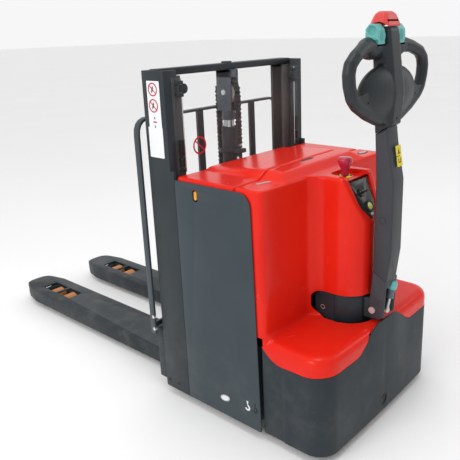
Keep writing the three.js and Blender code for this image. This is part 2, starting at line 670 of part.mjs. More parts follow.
function motorController() {
  const base = box(230, 330, topShelf.rear, topShelf.front, topShelf.bottom, 700);
  const fins = [-80, -40, 0, 40, 80].map((shift) => {
    const y = topShelf.middle + shift;
    return box(235, 325, y - 5, y + 5, 695, 730);
  });
  return joined(base, ...fins);
}

function battery() {
  const { half, rear, front, top } = batteryBox;
  return box(-half, half, rear, front, bay.floorTop + 0.5, top);
}

place(truck, 'battery', battery(), finish(0x2a2d30, 0.5, 0.1));
place(truck, 'hydraulic_power_unit', hydraulicPowerUnit(), castGrey());
place(truck, 'motor_controller', motorController(), finish(0x9a9ea1, 0.4, 0.8));

// ---- drive unit, about the steering axis ----------------------------------------------------------
const bearing = { outer: 74.6, inner: 56, flangeBottom: 345.5, flangeTop: 352 };

const gearbox = { neck: 55, flange: 84, inner: 43, outer: 86, bottom: 60, blockBottom: 236, blockTop: 322 };
const motorCase = { radius: 61, top: 560, brake: 48, brakeTop: 604 };
const sleeve = { inner: 64, outer: 83, top: 466, lugRear: -132, lugBottom: 392 };
const band = { inner: 85, outer: 88.5, bottom: 368, top: 484, mouth: 34 };

function driveGearbox() {
  const { inner, outer, bottom, blockBottom, blockTop } = gearbox;
  const neck = rod('z', gearbox.neck, blockTop - 22, bearing.flangeTop, 0, 0, 32);
  const flange = rod('z', gearbox.flange, bearing.flangeBottom, bearing.flangeTop, 0, 0, 32);
  const block = box(-50, outer, -58, 58, blockBottom, blockTop);
  const side = box(inner, outer, -50, 50, bottom, blockBottom + 4);
  return joined(neck, flange, block, side);
}

function tractionMotor() {
  const casing = rod('z', motorCase.radius, bearing.flangeTop + 0.4, motorCase.top);
  const brake = rod('z', motorCase.brake, motorCase.top - 2, motorCase.brakeTop);
  return joined(casing, brake);
}

function tyre() {
  const { radius, half, hub, bevel } = driveWheel;
  const bore = hub + gap;
  return turnedX([
    [bore, -half], [radius - bevel, -half], [radius, bevel - half], [radius, half - bevel],
    [radius - bevel, half], [bore, half],
  ], 32).translate(0, 0, radius);
}

function wheelHub() {
  const { radius, half, hub } = driveWheel;
  const dish = [[0, -half], [30, -half], [34, 14 - half], [60, 14 - half], [hub, 2 - half]];
  const flange = [[hub, half - 2], [60, half - 10], [30, half + 4.5], [0, half + 4.5]];
  return turnedX([...dish, ...flange], 32).translate(0, 0, radius);
}

function tillerBracket() {
  const { inner, outer, top, lugRear, lugBottom } = sleeve;
  const foot = bearing.flangeTop + gap;
  const ring = turned([[inner, foot], [outer, foot], [outer, top], [inner, top]], 32);
  const lugHalf = tiller.half - tiller.wall - 2 * gap;
  const lug = box(-lugHalf, lugHalf, lugRear, -inner - 6, lugBottom, top);
  const pinHole = rod('x', pin.radius + gap, -50, 50, tiller.pivotY, tiller.pivotZ, 16);
  return cut(joined(ring, lug), pinHole);
}

function slotGuard() {
  const { inner, outer, bottom, top, mouth } = band;
  const ring = turned([[inner, bottom], [outer, bottom], [outer, top], [inner, top]], 40);
  return cut(ring, box(-mouth, mouth, -100, 0, bottom - 10, top + 10));
}

function tillerPin() {
  const { pivotY, pivotZ, half } = tiller;
  const shank = rod('x', pin.radius, -half - 1, half + 1, pivotY, pivotZ, 16);
  const heads = [1, -1].map((side) => rod(
    'x', pin.head, ...inOrder(side * (half + 0.5), side * (half + 0.5 + pin.headDepth)), pivotY, pivotZ, 16));
  return joined(shank, ...heads);
}

place(steering, 'drive_gearbox', driveGearbox(), castGrey());
place(steering, 'traction_motor', tractionMotor(), castGrey());
place(steering, 'tiller_bracket', tillerBracket(), railGrey());
place(steering, 'steer_slot_guard', slotGuard(), railGrey());
place(steering, 'tiller_pin', tillerPin(), brightSteel());
place(steering, 'drive_wheel_tyre', tyre(), polyurethane());
place(steering, 'drive_wheel_hub', wheelHub(), castGrey());
const bearingRing = turned([
  [bearing.inner, deck.bottom], [bearing.outer, deck.bottom],
  [bearing.outer, deck.top], [bearing.inner, deck.top],
]);
place(truck, 'steering_bearing', bearingRing.translate(0, steer.y, 0), brightSteel());

// ---- tiller arm and head, about the pin --------------------------------------------------------------
const up = (z) => z - tiller.pivotZ;             // a height above the floor, seen from the pin
const back = (y) => y - steer.y - tiller.pivotY; // a place along the truck, seen from the pin

function tillerArm() {
  const { half, wall, bottom } = tiller;
  const side = outline([
    [back(-703), up(bottom)], [back(-704), up(520)], [back(-706), up(888)], [back(-698), up(1034)],
    [back(-740), up(1058)], [back(-746), up(1010)], [back(-770), up(888)], [back(-770), up(650)],
    [back(-756), up(540)], [back(-750), up(bottom)],
  ]);
  const outside = extrude(side, 'x', -half, half, { bevel: 5, bevelSegments: 1 });
  const mouth = box(wall - half, half - wall, back(-780), back(-712), up(bottom - 12), up(540));
  const foot = box(wall - half, half - wall, back(-720), back(-690), up(bottom - 12), up(482));
  const pinHole = rod('x', pin.radius + gap, -60, 60, 0, 0, 16);
  return cut(outside, mouth, foot, pinHole);
}

function grip(side) {
  const y = back(steer.y + head.y);
  const x = head.reach;
  return tube([
    [side * 30, y - 4, up(1318)], [side * 90, y - 2, up(1318)], [side * 150, y, up(1303)],
    [side * 200, y, up(1272)], [side * x, y, up(1225)], [side * 214, y, up(1170)],
    [side * 170, y, up(1130)], [side * 110, y, up(1118)], [side * 40, y, up(1120)],
  ], head.grip, 18, 10);
}

function tillerHead() {
  const middle = back(steer.y + head.y);
  const dome = new THREE.SphereGeometry(1, 18, 10).rotateX(Math.PI / 2).scale(142, 40, 78);
  dome.translate(0, middle, up(1158));
  const spineSide = outline([
    [back(-697), up(1036)], [back(-690), up(1120)], [back(-675), up(1352)], [back(-736), up(1352)],
    [back(-750), up(1160)], [back(-742), up(1060)],
  ]);
  const spine = extrude(spineSide, 'x', -30, 30, { bevel: 6, bevelSegments: 2 });
  const lobe = rod('x', 30, -head.lobe, head.lobe, back(thumb.y), up(1312), 20);
  const collar = extrude(outline([
    [back(-699), up(1042)], [back(-700), up(1100)], [back(-748), up(1100)], [back(-741), up(1064)],
  ]), 'x', -34, 34, { bevel: 4, bevelSegments: 1 });
  const whole = joined(spine, dome, lobe, collar, grip(1), grip(-1));
  const armTop = hull([[-660, 1000], [-660, 1014], [-790, 1088.5], [-790, 1000]].flatMap(
    ([y, z]) => [[-90, back(y), up(z)], [90, back(y), up(z)]]));
  const seats = [-1, 1].map((side) => {
    const ends = inOrder(side * (thumb.inner - 1), side * (thumb.outer + 2));
    return rod('x', thumb.reach + 4, ...ends, back(thumb.y), up(thumb.z), 20);
  });
  const pocket = keyPads.half + 0.5;
  const pockets = keyPads.heights.map((z) => box(
    -pocket, pocket, back(keyPads.rear - 4.5), back(-670), up(z - pocket), up(z + pocket)));
  return cut(whole, armTop, ...seats, ...pockets);
}

// Levels from the bottom up: height, half width, front and rear edge.
function bellyButton() {
  const { bottom, top } = belly;
  const levels = [
    [bottom, 45, -673, -735], [top - 18, 43, -676, -732], [top - 6, 37, -681, -726], [top, 27, -690, -716],
  ];
  return hull(levels.flatMap(([z, half, front, rear]) => [-1, 1].flatMap((side) => [
    [side * half, back(front - 10), up(z)], [side * (half - 10), back(front), up(z)],
    [side * half, back(rear + 12), up(z)], [side * (half - 12), back(rear), up(z)],
  ])));
}

function thumbWheel(side) {
  const y = back(thumb.y);
  const z = up(thumb.z);
  const ends = inOrder(side * thumb.inner, side * thumb.outer);
  const disc = rod('x', thumb.disc, ...ends, y, z, 20);
  const paddles = [1, -1].map((way) => {
    const tip = z + way * thumb.reach;
    return hull(ends.flatMap((x) => [[x, y - 8, z], [x, y + 8, z], [x, y - 4, tip], [x, y + 6, tip]]));
  });
  return joined(disc, ...paddles);
}

const spring = { y: -731, barrel: 11, stem: 6, top: 538, barrelFoot: 486, foot: 470 };

function gasSpring() {
  const { barrel, stem, top, barrelFoot, foot } = spring;
  const casing = rod('z', barrel, up(barrelFoot), up(top), 0, back(spring.y), 14);
  return joined(casing, rod('z', stem, up(foot), up(barrelFoot + 1), 0, back(spring.y), 12));
}

place(arm, 'tiller_arm', tillerArm(), steelGrey());
place(arm, 'tiller_head', tillerHead(), headPlastic());
place(arm, 'belly_button', bellyButton(), finish(0xe8504a, 0.45, 0));
place(arm, 'left_thumb_wheel', thumbWheel(-1), turquoise());
place(arm, 'right_thumb_wheel', thumbWheel(1), turquoise());
['lift_button', 'lower_button'].forEach((name, i) => {
  const { front, rear, half, heights } = keyPads;
  const z = heights[i];
  place(arm, name, box(-half, half, back(rear), back(front), up(z - half), up(z + half)), blackPlastic());
});
place(arm, 'gas_spring', gasSpring(), castGrey());

// ---- stabilising castors ----------------------------------------------------------------------------
function castorFork() {
  const { top, plateHalf, cheek: thick, half, trail, radius, axle } = castor;
  const plate = box(-plateHalf, plateHalf, -plateHalf, plateHalf, top - 6, top);
  const cheekShape = outline([
    [-24, top - 4], [26, top - 4], [trail + 14, radius - 12, 10], [trail - 14, radius - 12, 10],
  ]);
  const cheeks = [-1, 1].map((side) => extrude(
    cheekShape, 'x', ...inOrder(side * (half + 2), side * (half + 2 + thick))));
  return joined(plate, ...cheeks, rod('x', axle, -half - 5, half + 5, trail, radius, 12));
}

function castorWheel() {
  const { radius, half, axle, trail } = castor;
  const bore = axle + 0.4;
  const bevel = 5;
  return turnedX([
    [bore, -half], [radius - bevel, -half], [radius, bevel - half], [radius, half - bevel],
    [radius - bevel, half], [bore, half],
  ], 20).translate(0, trail, radius);
}

sides.forEach(([name, side]) => {
  const stand = new THREE.Group();
  stand.position.set(side * castor.x, castor.y, 0);
  truck.add(stand);
  place(stand, `${name}_castor_fork`, castorFork(), brightSteel());
  place(stand, `${name}_castor_wheel`, castorWheel(), blackPlastic());
});

// ---- origin at the middle of the base ---------------------------------------------------------------
truck.updateMatrixWorld(true);
const reach = new THREE.Box3().setFromObject(truck, true);
truck.position.y = -(reach.min.y + reach.max.y) / 2;

export default truck;
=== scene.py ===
import json
import math
import bmesh
import bpy
from mathutils import Matrix, Vector


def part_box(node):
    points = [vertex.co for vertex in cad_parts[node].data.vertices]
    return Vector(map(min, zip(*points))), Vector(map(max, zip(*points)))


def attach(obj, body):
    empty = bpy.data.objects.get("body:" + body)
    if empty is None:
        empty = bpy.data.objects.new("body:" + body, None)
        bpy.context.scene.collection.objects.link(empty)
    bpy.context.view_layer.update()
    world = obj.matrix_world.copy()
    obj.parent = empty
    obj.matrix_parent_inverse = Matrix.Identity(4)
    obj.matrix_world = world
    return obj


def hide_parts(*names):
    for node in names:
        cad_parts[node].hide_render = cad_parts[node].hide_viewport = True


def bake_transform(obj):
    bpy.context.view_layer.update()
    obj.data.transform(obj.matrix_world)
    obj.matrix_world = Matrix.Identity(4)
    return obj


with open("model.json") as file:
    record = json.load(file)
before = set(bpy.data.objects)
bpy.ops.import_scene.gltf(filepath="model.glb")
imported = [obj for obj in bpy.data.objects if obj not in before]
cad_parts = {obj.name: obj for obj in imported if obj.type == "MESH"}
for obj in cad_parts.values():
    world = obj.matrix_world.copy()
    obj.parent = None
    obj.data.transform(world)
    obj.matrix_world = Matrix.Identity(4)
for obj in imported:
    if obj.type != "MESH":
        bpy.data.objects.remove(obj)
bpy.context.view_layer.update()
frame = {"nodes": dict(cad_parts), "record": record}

scene = bpy.context.scene


# small tools

def linked(name, mesh):
    item = bpy.data.objects.new(name, mesh)
    scene.collection.objects.link(item)
    return item


def shadeByAngle(bm, degrees):
    # faces smooth, edges sharper than the limit kept crisp
    limit = math.radians(degrees)
    for face in bm.faces:
        face.smooth = True
    for edge in bm.edges:
        edge.smooth = len(edge.link_faces) == 2 and edge.calc_face_angle(0) < limit


def asObject(name, bm, angle=35):
    bm.normal_update()
    shadeByAngle(bm, angle)
    mesh = bpy.data.meshes.new(name)
    bm.to_mesh(mesh)
    bm.free()
    return linked(name, mesh)


def baked(item):
    # replaces the mesh by what its modifiers make of it
    graph = bpy.context.evaluated_depsgraph_get()
    mesh = bpy.data.meshes.new_from_object(item.evaluated_get(graph))
    item.modifiers.clear()
    item.data = mesh
    return item


def reShaded(item, angle):
    bm = bmesh.new()
    bm.from_mesh(item.data)
    shadeByAngle(bm, angle)
    bm.to_mesh(item.data)
    bm.free()
    return item


def softEdges(item, width, segments=2, angle=32):
    bevel = item.modifiers.new("edges", "BEVEL")
    bevel.width = width
    bevel.segments = segments
    bevel.limit_method = "ANGLE"
    bevel.angle_limit = math.radians(angle)
    bevel.use_clamp_overlap = True
    return reShaded(baked(item), 50)


def cutFrom(item, others):
    # takes the other shapes away from an item
    for other in others:
        step = item.modifiers.new("cut", "BOOLEAN")
        step.operation = "DIFFERENCE"
        step.solver = "EXACT"
        step.object = other
    baked(item)
    for other in others:
        bpy.data.objects.remove(other)
    return item


def placed(item, body, material, replaces=()):
    item.data.materials.clear()
    item.data.materials.append(material)
    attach(item, body)
    if replaces:
        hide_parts(*replaces)
    return item


def rounded(corners, steps=6):
    # an outline from [x, y, radius] corners, each rounded by an arc
    points = []
    for i, (x, y, radius) in enumerate(corners):
        here = Vector((x, y))
        before = (Vector(corners[i - 1][:2]) - here)
        after = (Vector(corners[(i + 1) % len(corners)][:2]) - here)
        if radius == 0:
            points.append(here)
            continue
        half = before.angle(after) / 2
        back = min(radius / math.tan(half), before.length * 0.499, after.length * 0.499)
        start = here + before.normalized() * back
        end = here + after.normalized() * back
        middle = here + (before.normalized() + after.normalized()).normalized() * (back / math.cos(half))
        first, last = start - middle, end - middle
        turn = first.angle_signed(last)
        for step in range(steps + 1):
            points.append(middle + Matrix.Rotation(-turn * step / steps, 2) @ first)
    return points


def rectangle(left, right, low, high, corner=0.003, steps=3):
    return rounded([
        (left, low, corner), (left, high, corner), (right, high, corner), (right, low, corner)], steps)


axisFrames = {
    "x": ((0, 1, 0), (0, 0, 1), (1, 0, 0)), "y": ((1, 0, 0), (0, 0, 1), (0, 1, 0)),
    "z": ((1, 0, 0), (0, 1, 0), (0, 0, 1)),
}


def slab(bm, points, axis, start, end):
    # an outline drawn in the two other axes and drawn out along one
    across, upward, along = (Vector(v) for v in axisFrames[axis])
    ring = [bm.verts.new(across * p[0] + upward * p[1] + along * start) for p in points]
    face = bm.faces.new(ring)
    made = bmesh.ops.extrude_face_region(bm, geom=[face])["geom"]
    moved = [v for v in made if isinstance(v, bmesh.types.BMVert)]
    bmesh.ops.translate(bm, verts=moved, vec=along * (end - start))
    faces = list({f for v in moved + ring for f in v.link_faces})
    bmesh.ops.recalc_face_normals(bm, faces=faces)
    return faces


def block(bm, low, high):
    low, high = Vector(low), Vector(high)
    size = high - low
    place = Matrix.Translation((low + high) / 2) @ Matrix.Diagonal((*size, 1))
    return bmesh.ops.create_cube(bm, size=1, matrix=place)["verts"]


def cylinder(bm, axis, radius, start, end, centre=(0, 0), segments=32):
    turns = {
        "x": Matrix.Rotation(math.pi / 2, 4, "Y"), "y": Matrix.Rotation(-math.pi / 2, 4, "X"),
        "z": Matrix.Identity(4),
    }
    half = (start + end) / 2
    middle = {"x": (half, *centre), "y": (centre[0], half, centre[1]), "z": (*centre, half)}[axis]
    place = Matrix.Translation(middle) @ turns[axis]
    return bmesh.ops.create_cone(
        bm, cap_ends=True, segments=segments, radius1=radius, radius2=radius, depth=end - start,
        matrix=place)["verts"]


def rolled(bm, faces, height, radius, segments=4):
    # rounds the rim of an upright slab at one height
    edges = {
        edge for face in faces if face.is_valid for edge in face.edges
        if all(abs(v.co.z - height) < 1e-5 for v in edge.verts)}
    bmesh.ops.bevel(
        bm, geom=list(edges), offset=radius, offset_type="OFFSET", affect="EDGES", segments=segments,
        profile=0.5, material=-1, clamp_overlap=True)


def hull(bm, points):
    verts = [bm.verts.new(p) for p in points]
    made = bmesh.ops.convex_hull(bm, input=verts)
    loose = [v for v in made["geom_interior"] if isinstance(v, bmesh.types.BMVert)]
    bmesh.ops.delete(bm, geom=loose, context="VERTS")


def spaced(points, step):
    # more points along a line, so that no stretch is longer than the step
    result = []
    for first, last in zip(points, points[1:]):
        count = max(1, math.ceil((last - first).length / step))
        result += [first.lerp(last, i / count) for i in range(count)]
    return result + [points[-1]]


def fused(name, bm, voxel, passes):
    # one smoothed skin round all the overlapping solids
    item = asObject(name, bm)
    skin = item.modifiers.new("skin", "REMESH")
    skin.mode = "VOXEL"
    skin.voxel_size = voxel
    skin.use_smooth_shade = True
    smooth = item.modifiers.new("smooth", "SMOOTH")
    smooth.factor, smooth.iterations = 0.5, passes
    return baked(item)


def without(item, chosen):
    # drops the faces that a test picks
    bm = bmesh.new()
    bm.from_mesh(item.data)
    bmesh.ops.delete(bm, geom=[f for f in bm.faces if chosen(f)], context="FACES")
    bm.to_mesh(item.data)
    bm.free()
    return item


def opened(item, cutter):
    # cuts a shape out of a skin and leaves the hole open
    for thing in (item, cutter):
        thing.data.materials.clear()
        thing.data.materials.append(None)
        thing.data.materials.append(None)
    for polygon in cutter.data.polygons:
        polygon.material_index = 1
    cutFrom(item, [cutter])
    return without(item, lambda face: face.material_index == 1)


def walled(item, thickness, offset=-1):
    wall = item.modifiers.new("wall", "SOLIDIFY")
    wall.thickness, wall.offset = thickness, offset
    return baked(item)


def turned(bm, profile, axis, centre, steps=48):
    # a profile of (radius, place along the axis) spun round that axis
    across, upward, along = (Vector(v) for v in axisFrames[axis])
    centre = Vector(centre)
    verts = [bm.verts.new(centre + across * r + along * t) for r, t in profile]
    edges = [bm.edges.new(pair) for pair in zip(verts, verts[1:])]
    bmesh.ops.spin(
        bm, geom=verts + edges, cent=centre, axis=along, angle=2 * math.pi, steps=steps, use_merge=True)
    bmesh.ops.remove_doubles(bm, verts=bm.verts[:], dist=1e-6)
    bmesh.ops.recalc_face_normals(bm, faces=bm.faces[:])


def cadCopy(node):
    # a merged copy of a CAD node's triangles
    bm = bmesh.new()
    bm.from_mesh(frame["nodes"][node].data)
    bmesh.ops.remove_doubles(bm, verts=bm.verts[:], dist=2e-5)
    bmesh.ops.dissolve_limit(
        bm, angle_limit=math.radians(1.5), verts=bm.verts[:], edges=bm.edges[:], delimit=set())
    return bm


def middleOf(node):
    # the middle of a CAD node's box
    return [(low + high) / 2 for low, high in zip(*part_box(node))]


# materials

class Wire:
    # one output of a shader node, which can stand in sums
    def __init__(self, board, socket):
        self.board, self.socket = board, socket

    def math(self, operation, *values):
        return self.board.node("Math", {"operation": operation}, dict(enumerate(values)))

    def __add__(self, other):
        return self.math("ADD", self, other)

    def __radd__(self, other):
        return self.math("ADD", other, self)

    def __sub__(self, other):
        return self.math("SUBTRACT", self, other)

    def __rsub__(self, other):
        return self.math("SUBTRACT", other, self)

    def __mul__(self, other):
        return self.math("MULTIPLY", self, other)

    def __rmul__(self, other):
        return self.math("MULTIPLY", other, self)

    def __truediv__(self, other):
        return self.math("DIVIDE", self, other)

    def __gt__(self, other):
        return self.math("GREATER_THAN", self, other)

    def __lt__(self, other):
        return self.math("LESS_THAN", self, other)

    def clipped(self, low, high):
        # 0 below low, 1 above high, smooth between
        settings = {"interpolation_type": "SMOOTHSTEP"}
        return self.board.node("MapRange", settings, {"Value": self, "From Min": low, "From Max": high})


class Board:
    # the node tree of one material
    def __init__(self, name):
        self.material = bpy.data.materials.new(name)
        self.material.use_nodes = True
        self.tree = self.material.node_tree
        self.tree.nodes.clear()
        self.place = self.node("TexCoord", out="Object")

    def node(self, kind, settings=None, sockets=None, out=0):
        made = self.tree.nodes.new("ShaderNode" + kind)
        for key, value in (settings or {}).items():
            setattr(made, key, value)
        for key, value in (sockets or {}).items():
            if isinstance(value, Wire):
                self.tree.links.new(value.socket, made.inputs[key])
            else:
                made.inputs[key].default_value = value
        return Wire(self, made.outputs[out])

    def noise(self, scale, detail=4, roughness=0.55, distortion=0):
        return self.node("TexNoise", {}, {
            "Vector": self.place, "Scale": scale, "Detail": detail, "Roughness": roughness,
            "Distortion": distortion})

    def along(self, axis):
        return self.node("SeparateXYZ", {}, {"Vector": self.place}, out=axis)

    def mixed(self, amount, first, second):
        made = self.tree.nodes.new("ShaderNodeMix")
        made.data_type = "RGBA"
        for index, value in ((0, amount), (6, first), (7, second)):
            if isinstance(value, Wire):
                self.tree.links.new(value.socket, made.inputs[index])
            else:
                made.inputs[index].default_value = (*value, 1) if isinstance(value, tuple) else value
        return Wire(self, made.outputs[2])

    def finished(self, colour, roughness, height=None, strength=0.2, distance=0.001, **uniform):
        if isinstance(colour, tuple):
            colour = (*colour, 1)
        sockets = {"Base Color": colour, "Roughness": roughness}
        if height is not None:
            bump = {"Height": height, "Strength": strength, "Distance": distance}
            sockets["Normal"] = self.node("Bump", {}, bump)
        for key, value in uniform.items():
            sockets[key.replace("_", " ")] = value
        self.close(self.node("BsdfPrincipled", {}, sockets))
        return self.material

    def close(self, shader):
        end = self.tree.nodes.new("ShaderNodeOutputMaterial")
        self.tree.links.new(shader.socket, end.inputs["Surface"])


def paint(name, colour, shade, rough=0.42, grain=900, grit=0.12, dust=0.25, coat=0.0, metal=0.0, gleam=0.3):
    # sprayed or moulded surface: cloudy colour, fine grain, scuffs, and dust that gathers low down
    board = Board(name)
    clouds = board.noise(3.2, 3, 0.6)
    tone = board.mixed(clouds.clipped(0.35, 0.7), colour, shade)
    scuffs = board.noise(28, 8, 0.72, distortion=0.6).clipped(0.62, 0.78)
    low = 1 - board.along("Z").clipped(0.02, 0.55)
    dirt = low * board.noise(11, 6, 0.65).clipped(0.42, 0.75) * dust
    worn = board.mixed(scuffs * 0.16 + dirt, tone, (0.26, 0.25, 0.235))
    roughness = rough + scuffs * 0.16 + dirt * 0.4 + (clouds - 0.5) * 0.12
    fine = board.noise(grain, 2, 0.5)
    return board.finished(
        worn, roughness, fine, grit, 0.0004, Metallic=metal, Coat_Weight=coat, Coat_Roughness=0.12,
        Specular_IOR_Level=gleam)


materials = {
    "cover": paint("cover_red", (0.76, 0.020, 0.008), (0.70, 0.013, 0.007), 0.24, 380, 0.05, 0.03,
                   coat=0.10, gleam=0.12),
    "panel": paint(
        "panel_paint", (0.044, 0.060, 0.070), (0.038, 0.052, 0.062), 0.46, 1100, 0.2, 0.12, gleam=0.2),
    "skirt": paint(
        "skirt_paint", (0.026, 0.035, 0.042), (0.021, 0.029, 0.035), 0.46, 1100, 0.2, 0.12, gleam=0.2),
    "mast": paint(
        "mast_paint", (0.030, 0.038, 0.044), (0.024, 0.031, 0.036), 0.44, 700, 0.2, 0.15, gleam=0.2),
    "arm": paint(
        "arm_paint", (0.050, 0.054, 0.062), (0.043, 0.047, 0.054), 0.42, 900, 0.15, 0.0, gleam=0.25),
    "head": paint(
        "head_plastic", (0.024, 0.029, 0.032), (0.020, 0.025, 0.028), 0.42, 1400, 0.3, 0.0, gleam=0.3),
    "black": paint("black_plastic", (0.010, 0.011, 0.012), (0.014, 0.015, 0.016), 0.5, 1200, 0.25, 0.1),
    "fork": paint(
        "fork_paint", (0.026, 0.034, 0.040), (0.020, 0.026, 0.031), 0.45, 600, 0.25, 0.2, gleam=0.2),
    "backrest": paint(
        "backrest_paint", (0.050, 0.064, 0.074), (0.042, 0.054, 0.063), 0.40, 800, 0.2, 0.1, gleam=0.25),
    "steel": paint("bright_steel", (0.62, 0.63, 0.64), (0.50, 0.51, 0.52), 0.24, 500, 0.15, 0.0, metal=1.0),
    "rail": paint(
        "rail_steel", (0.034, 0.031, 0.027), (0.052, 0.046, 0.038), 0.42, 300, 0.3, 0.0, gleam=0.3),
    "chain": paint(
        "chain_steel", (0.014, 0.014, 0.015), (0.024, 0.023, 0.023), 0.34, 400, 0.3, 0.0, metal=0.3),
    "cast": paint("cast_metal", (0.16, 0.17, 0.175), (0.12, 0.13, 0.135), 0.6, 260, 0.5, 0.1),
    "polyurethane": paint(
        "roller_polyurethane", (0.50, 0.20, 0.062), (0.42, 0.16, 0.048), 0.45, 500, 0.15, 0.2),
    "rubber": paint("castor_rubber", (0.018, 0.018, 0.019), (0.026, 0.026, 0.027), 0.68, 700, 0.3, 0.4),
    "turquoise": paint("turquoise_plastic", (0.15, 0.47, 0.44), (0.13, 0.43, 0.41), 0.34, 900, 0.1, 0.0),
    "coral": paint("belly_coral", (0.66, 0.070, 0.062), (0.60, 0.058, 0.052), 0.34, 900, 0.12, 0.0),
    "block": paint("block_paint", (0.075, 0.098, 0.118), (0.062, 0.083, 0.102), 0.38, 800, 0.15, 0.0),
    "strut": paint("strut_paint", (0.10, 0.14, 0.17), (0.08, 0.11, 0.14), 0.30, 800, 0.15, 0.0, gleam=0.5),
    "gloss": paint("panel_gloss", (0.020, 0.021, 0.022), (0.026, 0.027, 0.028), 0.22, 700, 0.05, 0.0),
    "stop": paint("stop_red", (0.50, 0.022, 0.060), (0.44, 0.018, 0.052), 0.26, 500, 0.06, 0.0, coat=0.2),
    "aluminium": paint(
        "controller_aluminium", (0.55, 0.56, 0.57), (0.48, 0.49, 0.50), 0.35, 500, 0.2, 0.0, metal=1.0),
    "batteryCase": paint("battery_case", (0.03, 0.033, 0.036), (0.025, 0.028, 0.03), 0.55, 600, 0.3, 0.1),
    "white": paint("label_white", (0.80, 0.81, 0.82), (0.76, 0.77, 0.78), 0.45, 900, 0.03, 0.1),
    "ring": paint("ring_red", (0.56, 0.012, 0.030), (0.50, 0.010, 0.026), 0.5, 900, 0.03, 0.0),
    "badge": paint("badge_silver", (0.50, 0.52, 0.53), (0.40, 0.42, 0.43), 0.3, 700, 0.1, 0.05, metal=0.4),
    "amber": paint("amber_insert", (0.80, 0.36, 0.05), (0.74, 0.31, 0.04), 0.4, 900, 0.05, 0.0),
    "yellow": paint("label_yellow", (0.80, 0.66, 0.03), (0.74, 0.60, 0.03), 0.45, 900, 0.03, 0.0),
    "lime": paint("gauge_lime", (0.62, 0.70, 0.10), (0.70, 0.74, 0.30), 0.25, 900, 0.03, 0.0),
    "brass": paint("brass", (0.62, 0.42, 0.16), (0.52, 0.34, 0.12), 0.3, 500, 0.1, 0.0, metal=1.0),
    "zinc": paint("zinc_plate", (0.66, 0.66, 0.65), (0.56, 0.56, 0.56), 0.34, 700, 0.1, 0.0, metal=0.5),
}


def clearSheet():
    board = Board("guard_clear")
    haze = board.noise(6, 5, 0.6).clipped(0.45, 0.75)
    return board.finished((0.92, 0.95, 0.95), 0.05 + haze * 0.1, Alpha=haze * 0.02 + 0.02, IOR=1.15)


materials["guard"] = clearSheet()
print("materials made")

slotMaterials = {
    "chassis_paint": "mast", "panel_paint": "panel", "skirt_paint": "skirt", "mast_paint": "mast",
    "arm_paint": "arm", "bracket_paint": "mast", "fork_paint": "fork", "backrest_paint": "backrest",
    "cover_red": "cover", "head_plastic": "head", "black_plastic": "black",
    "turquoise_plastic": "turquoise", "belly_coral": "coral", "stop_red": "stop",
    "gauge_plastic": "steel", "battery_case": "batteryCase", "roller_polyurethane": "polyurethane",
    "drive_tyre": "polyurethane", "castor_rubber": "rubber", "rail_steel": "rail",
    "bright_steel": "steel", "spring_steel": "steel", "chain_steel": "chain", "cast_metal": "cast",
    "controller_aluminium": "aluminium", "guard_clear": "guard",
}
nodeSlots = {row["node"]: row["material_slot"] for row in frame["record"]["subparts"]}
nodeBodies = {node: body for body, nodes in frame["record"]["behaviour"]["bodies"].items() for node in nodes}
for node, item in frame["nodes"].items():
    item.data.materials.clear()
    item.data.materials.append(materials[slotMaterials[nodeSlots[node]]])


def dressed(node, width=0.0015, segments=2, material=None, angle=32):
    # a CAD shape with softened edges
    item = softEdges(asObject(node + "_finish", cadCopy(node)), width, segments, angle)
    slot = nodeSlots[node]
    return placed(item, nodeBodies[node], material or materials[slotMaterials[slot]], [node])


# stage, light and camera

stageSetup = {"floor": 60, "dim": 0.60, "bright": 0.93, "turnFrom": -0.75, "turnTo": 0.05}


def makeStage():
    bm = bmesh.new()
    bmesh.ops.create_grid(bm, x_segments=1, y_segments=1, size=stageSetup["floor"])
    floor = asObject("floor", bm)
    board = Board("floor_paint")
    tone = board.mixed(board.noise(0.8, 3).clipped(0.3, 0.7), (0.985, 0.985, 0.985), (0.97, 0.97, 0.97))
    floor.data.materials.append(board.finished(tone, 0.8, board.noise(60, 3), 0.05, 0.001))
    floor.location.z = -0.0005
    # a white surround, dimmer on the handle's side
    world = bpy.data.worlds.new("studio")
    scene.world = world
    world.use_nodes = True
    tree = world.node_tree
    where = tree.nodes.new("ShaderNodeTexCoord")
    apart = tree.nodes.new("ShaderNodeSeparateXYZ")
    fade = tree.nodes.new("ShaderNodeMapRange")
    fade.interpolation_type = "SMOOTHSTEP"
    for socket, key in zip(fade.inputs[1:5], ("turnFrom", "turnTo", "dim", "bright")):
        socket.default_value = stageSetup[key]
    tree.links.new(where.outputs["Generated"], apart.inputs[0])
    tree.links.new(apart.outputs["Y"], fade.inputs[0])
    tree.links.new(fade.outputs[0], tree.nodes["Background"].inputs["Strength"])
    tree.nodes["Background"].inputs["Color"].default_value = (1, 1, 1, 1)


def softLight(name, place, target, size, power):
    lamp = bpy.data.lights.new(name, "AREA")
    lamp.size, lamp.energy = size, power
    item = bpy.data.objects.new(name, lamp)
    scene.collection.objects.link(item)
    item.location = place
    item.rotation_euler = (Vector(target) - Vector(place)).to_track_quat("-Z", "Y").to_euler()


cameraSetup = {
    "place": (-1.6896, -1.8857, 1.3642), "azimuth": -49.3647, "elevation": 17.0817, "roll": -1.7376,
    "lens": 46.754, "shift": (-0.0645, -0.0397),
}


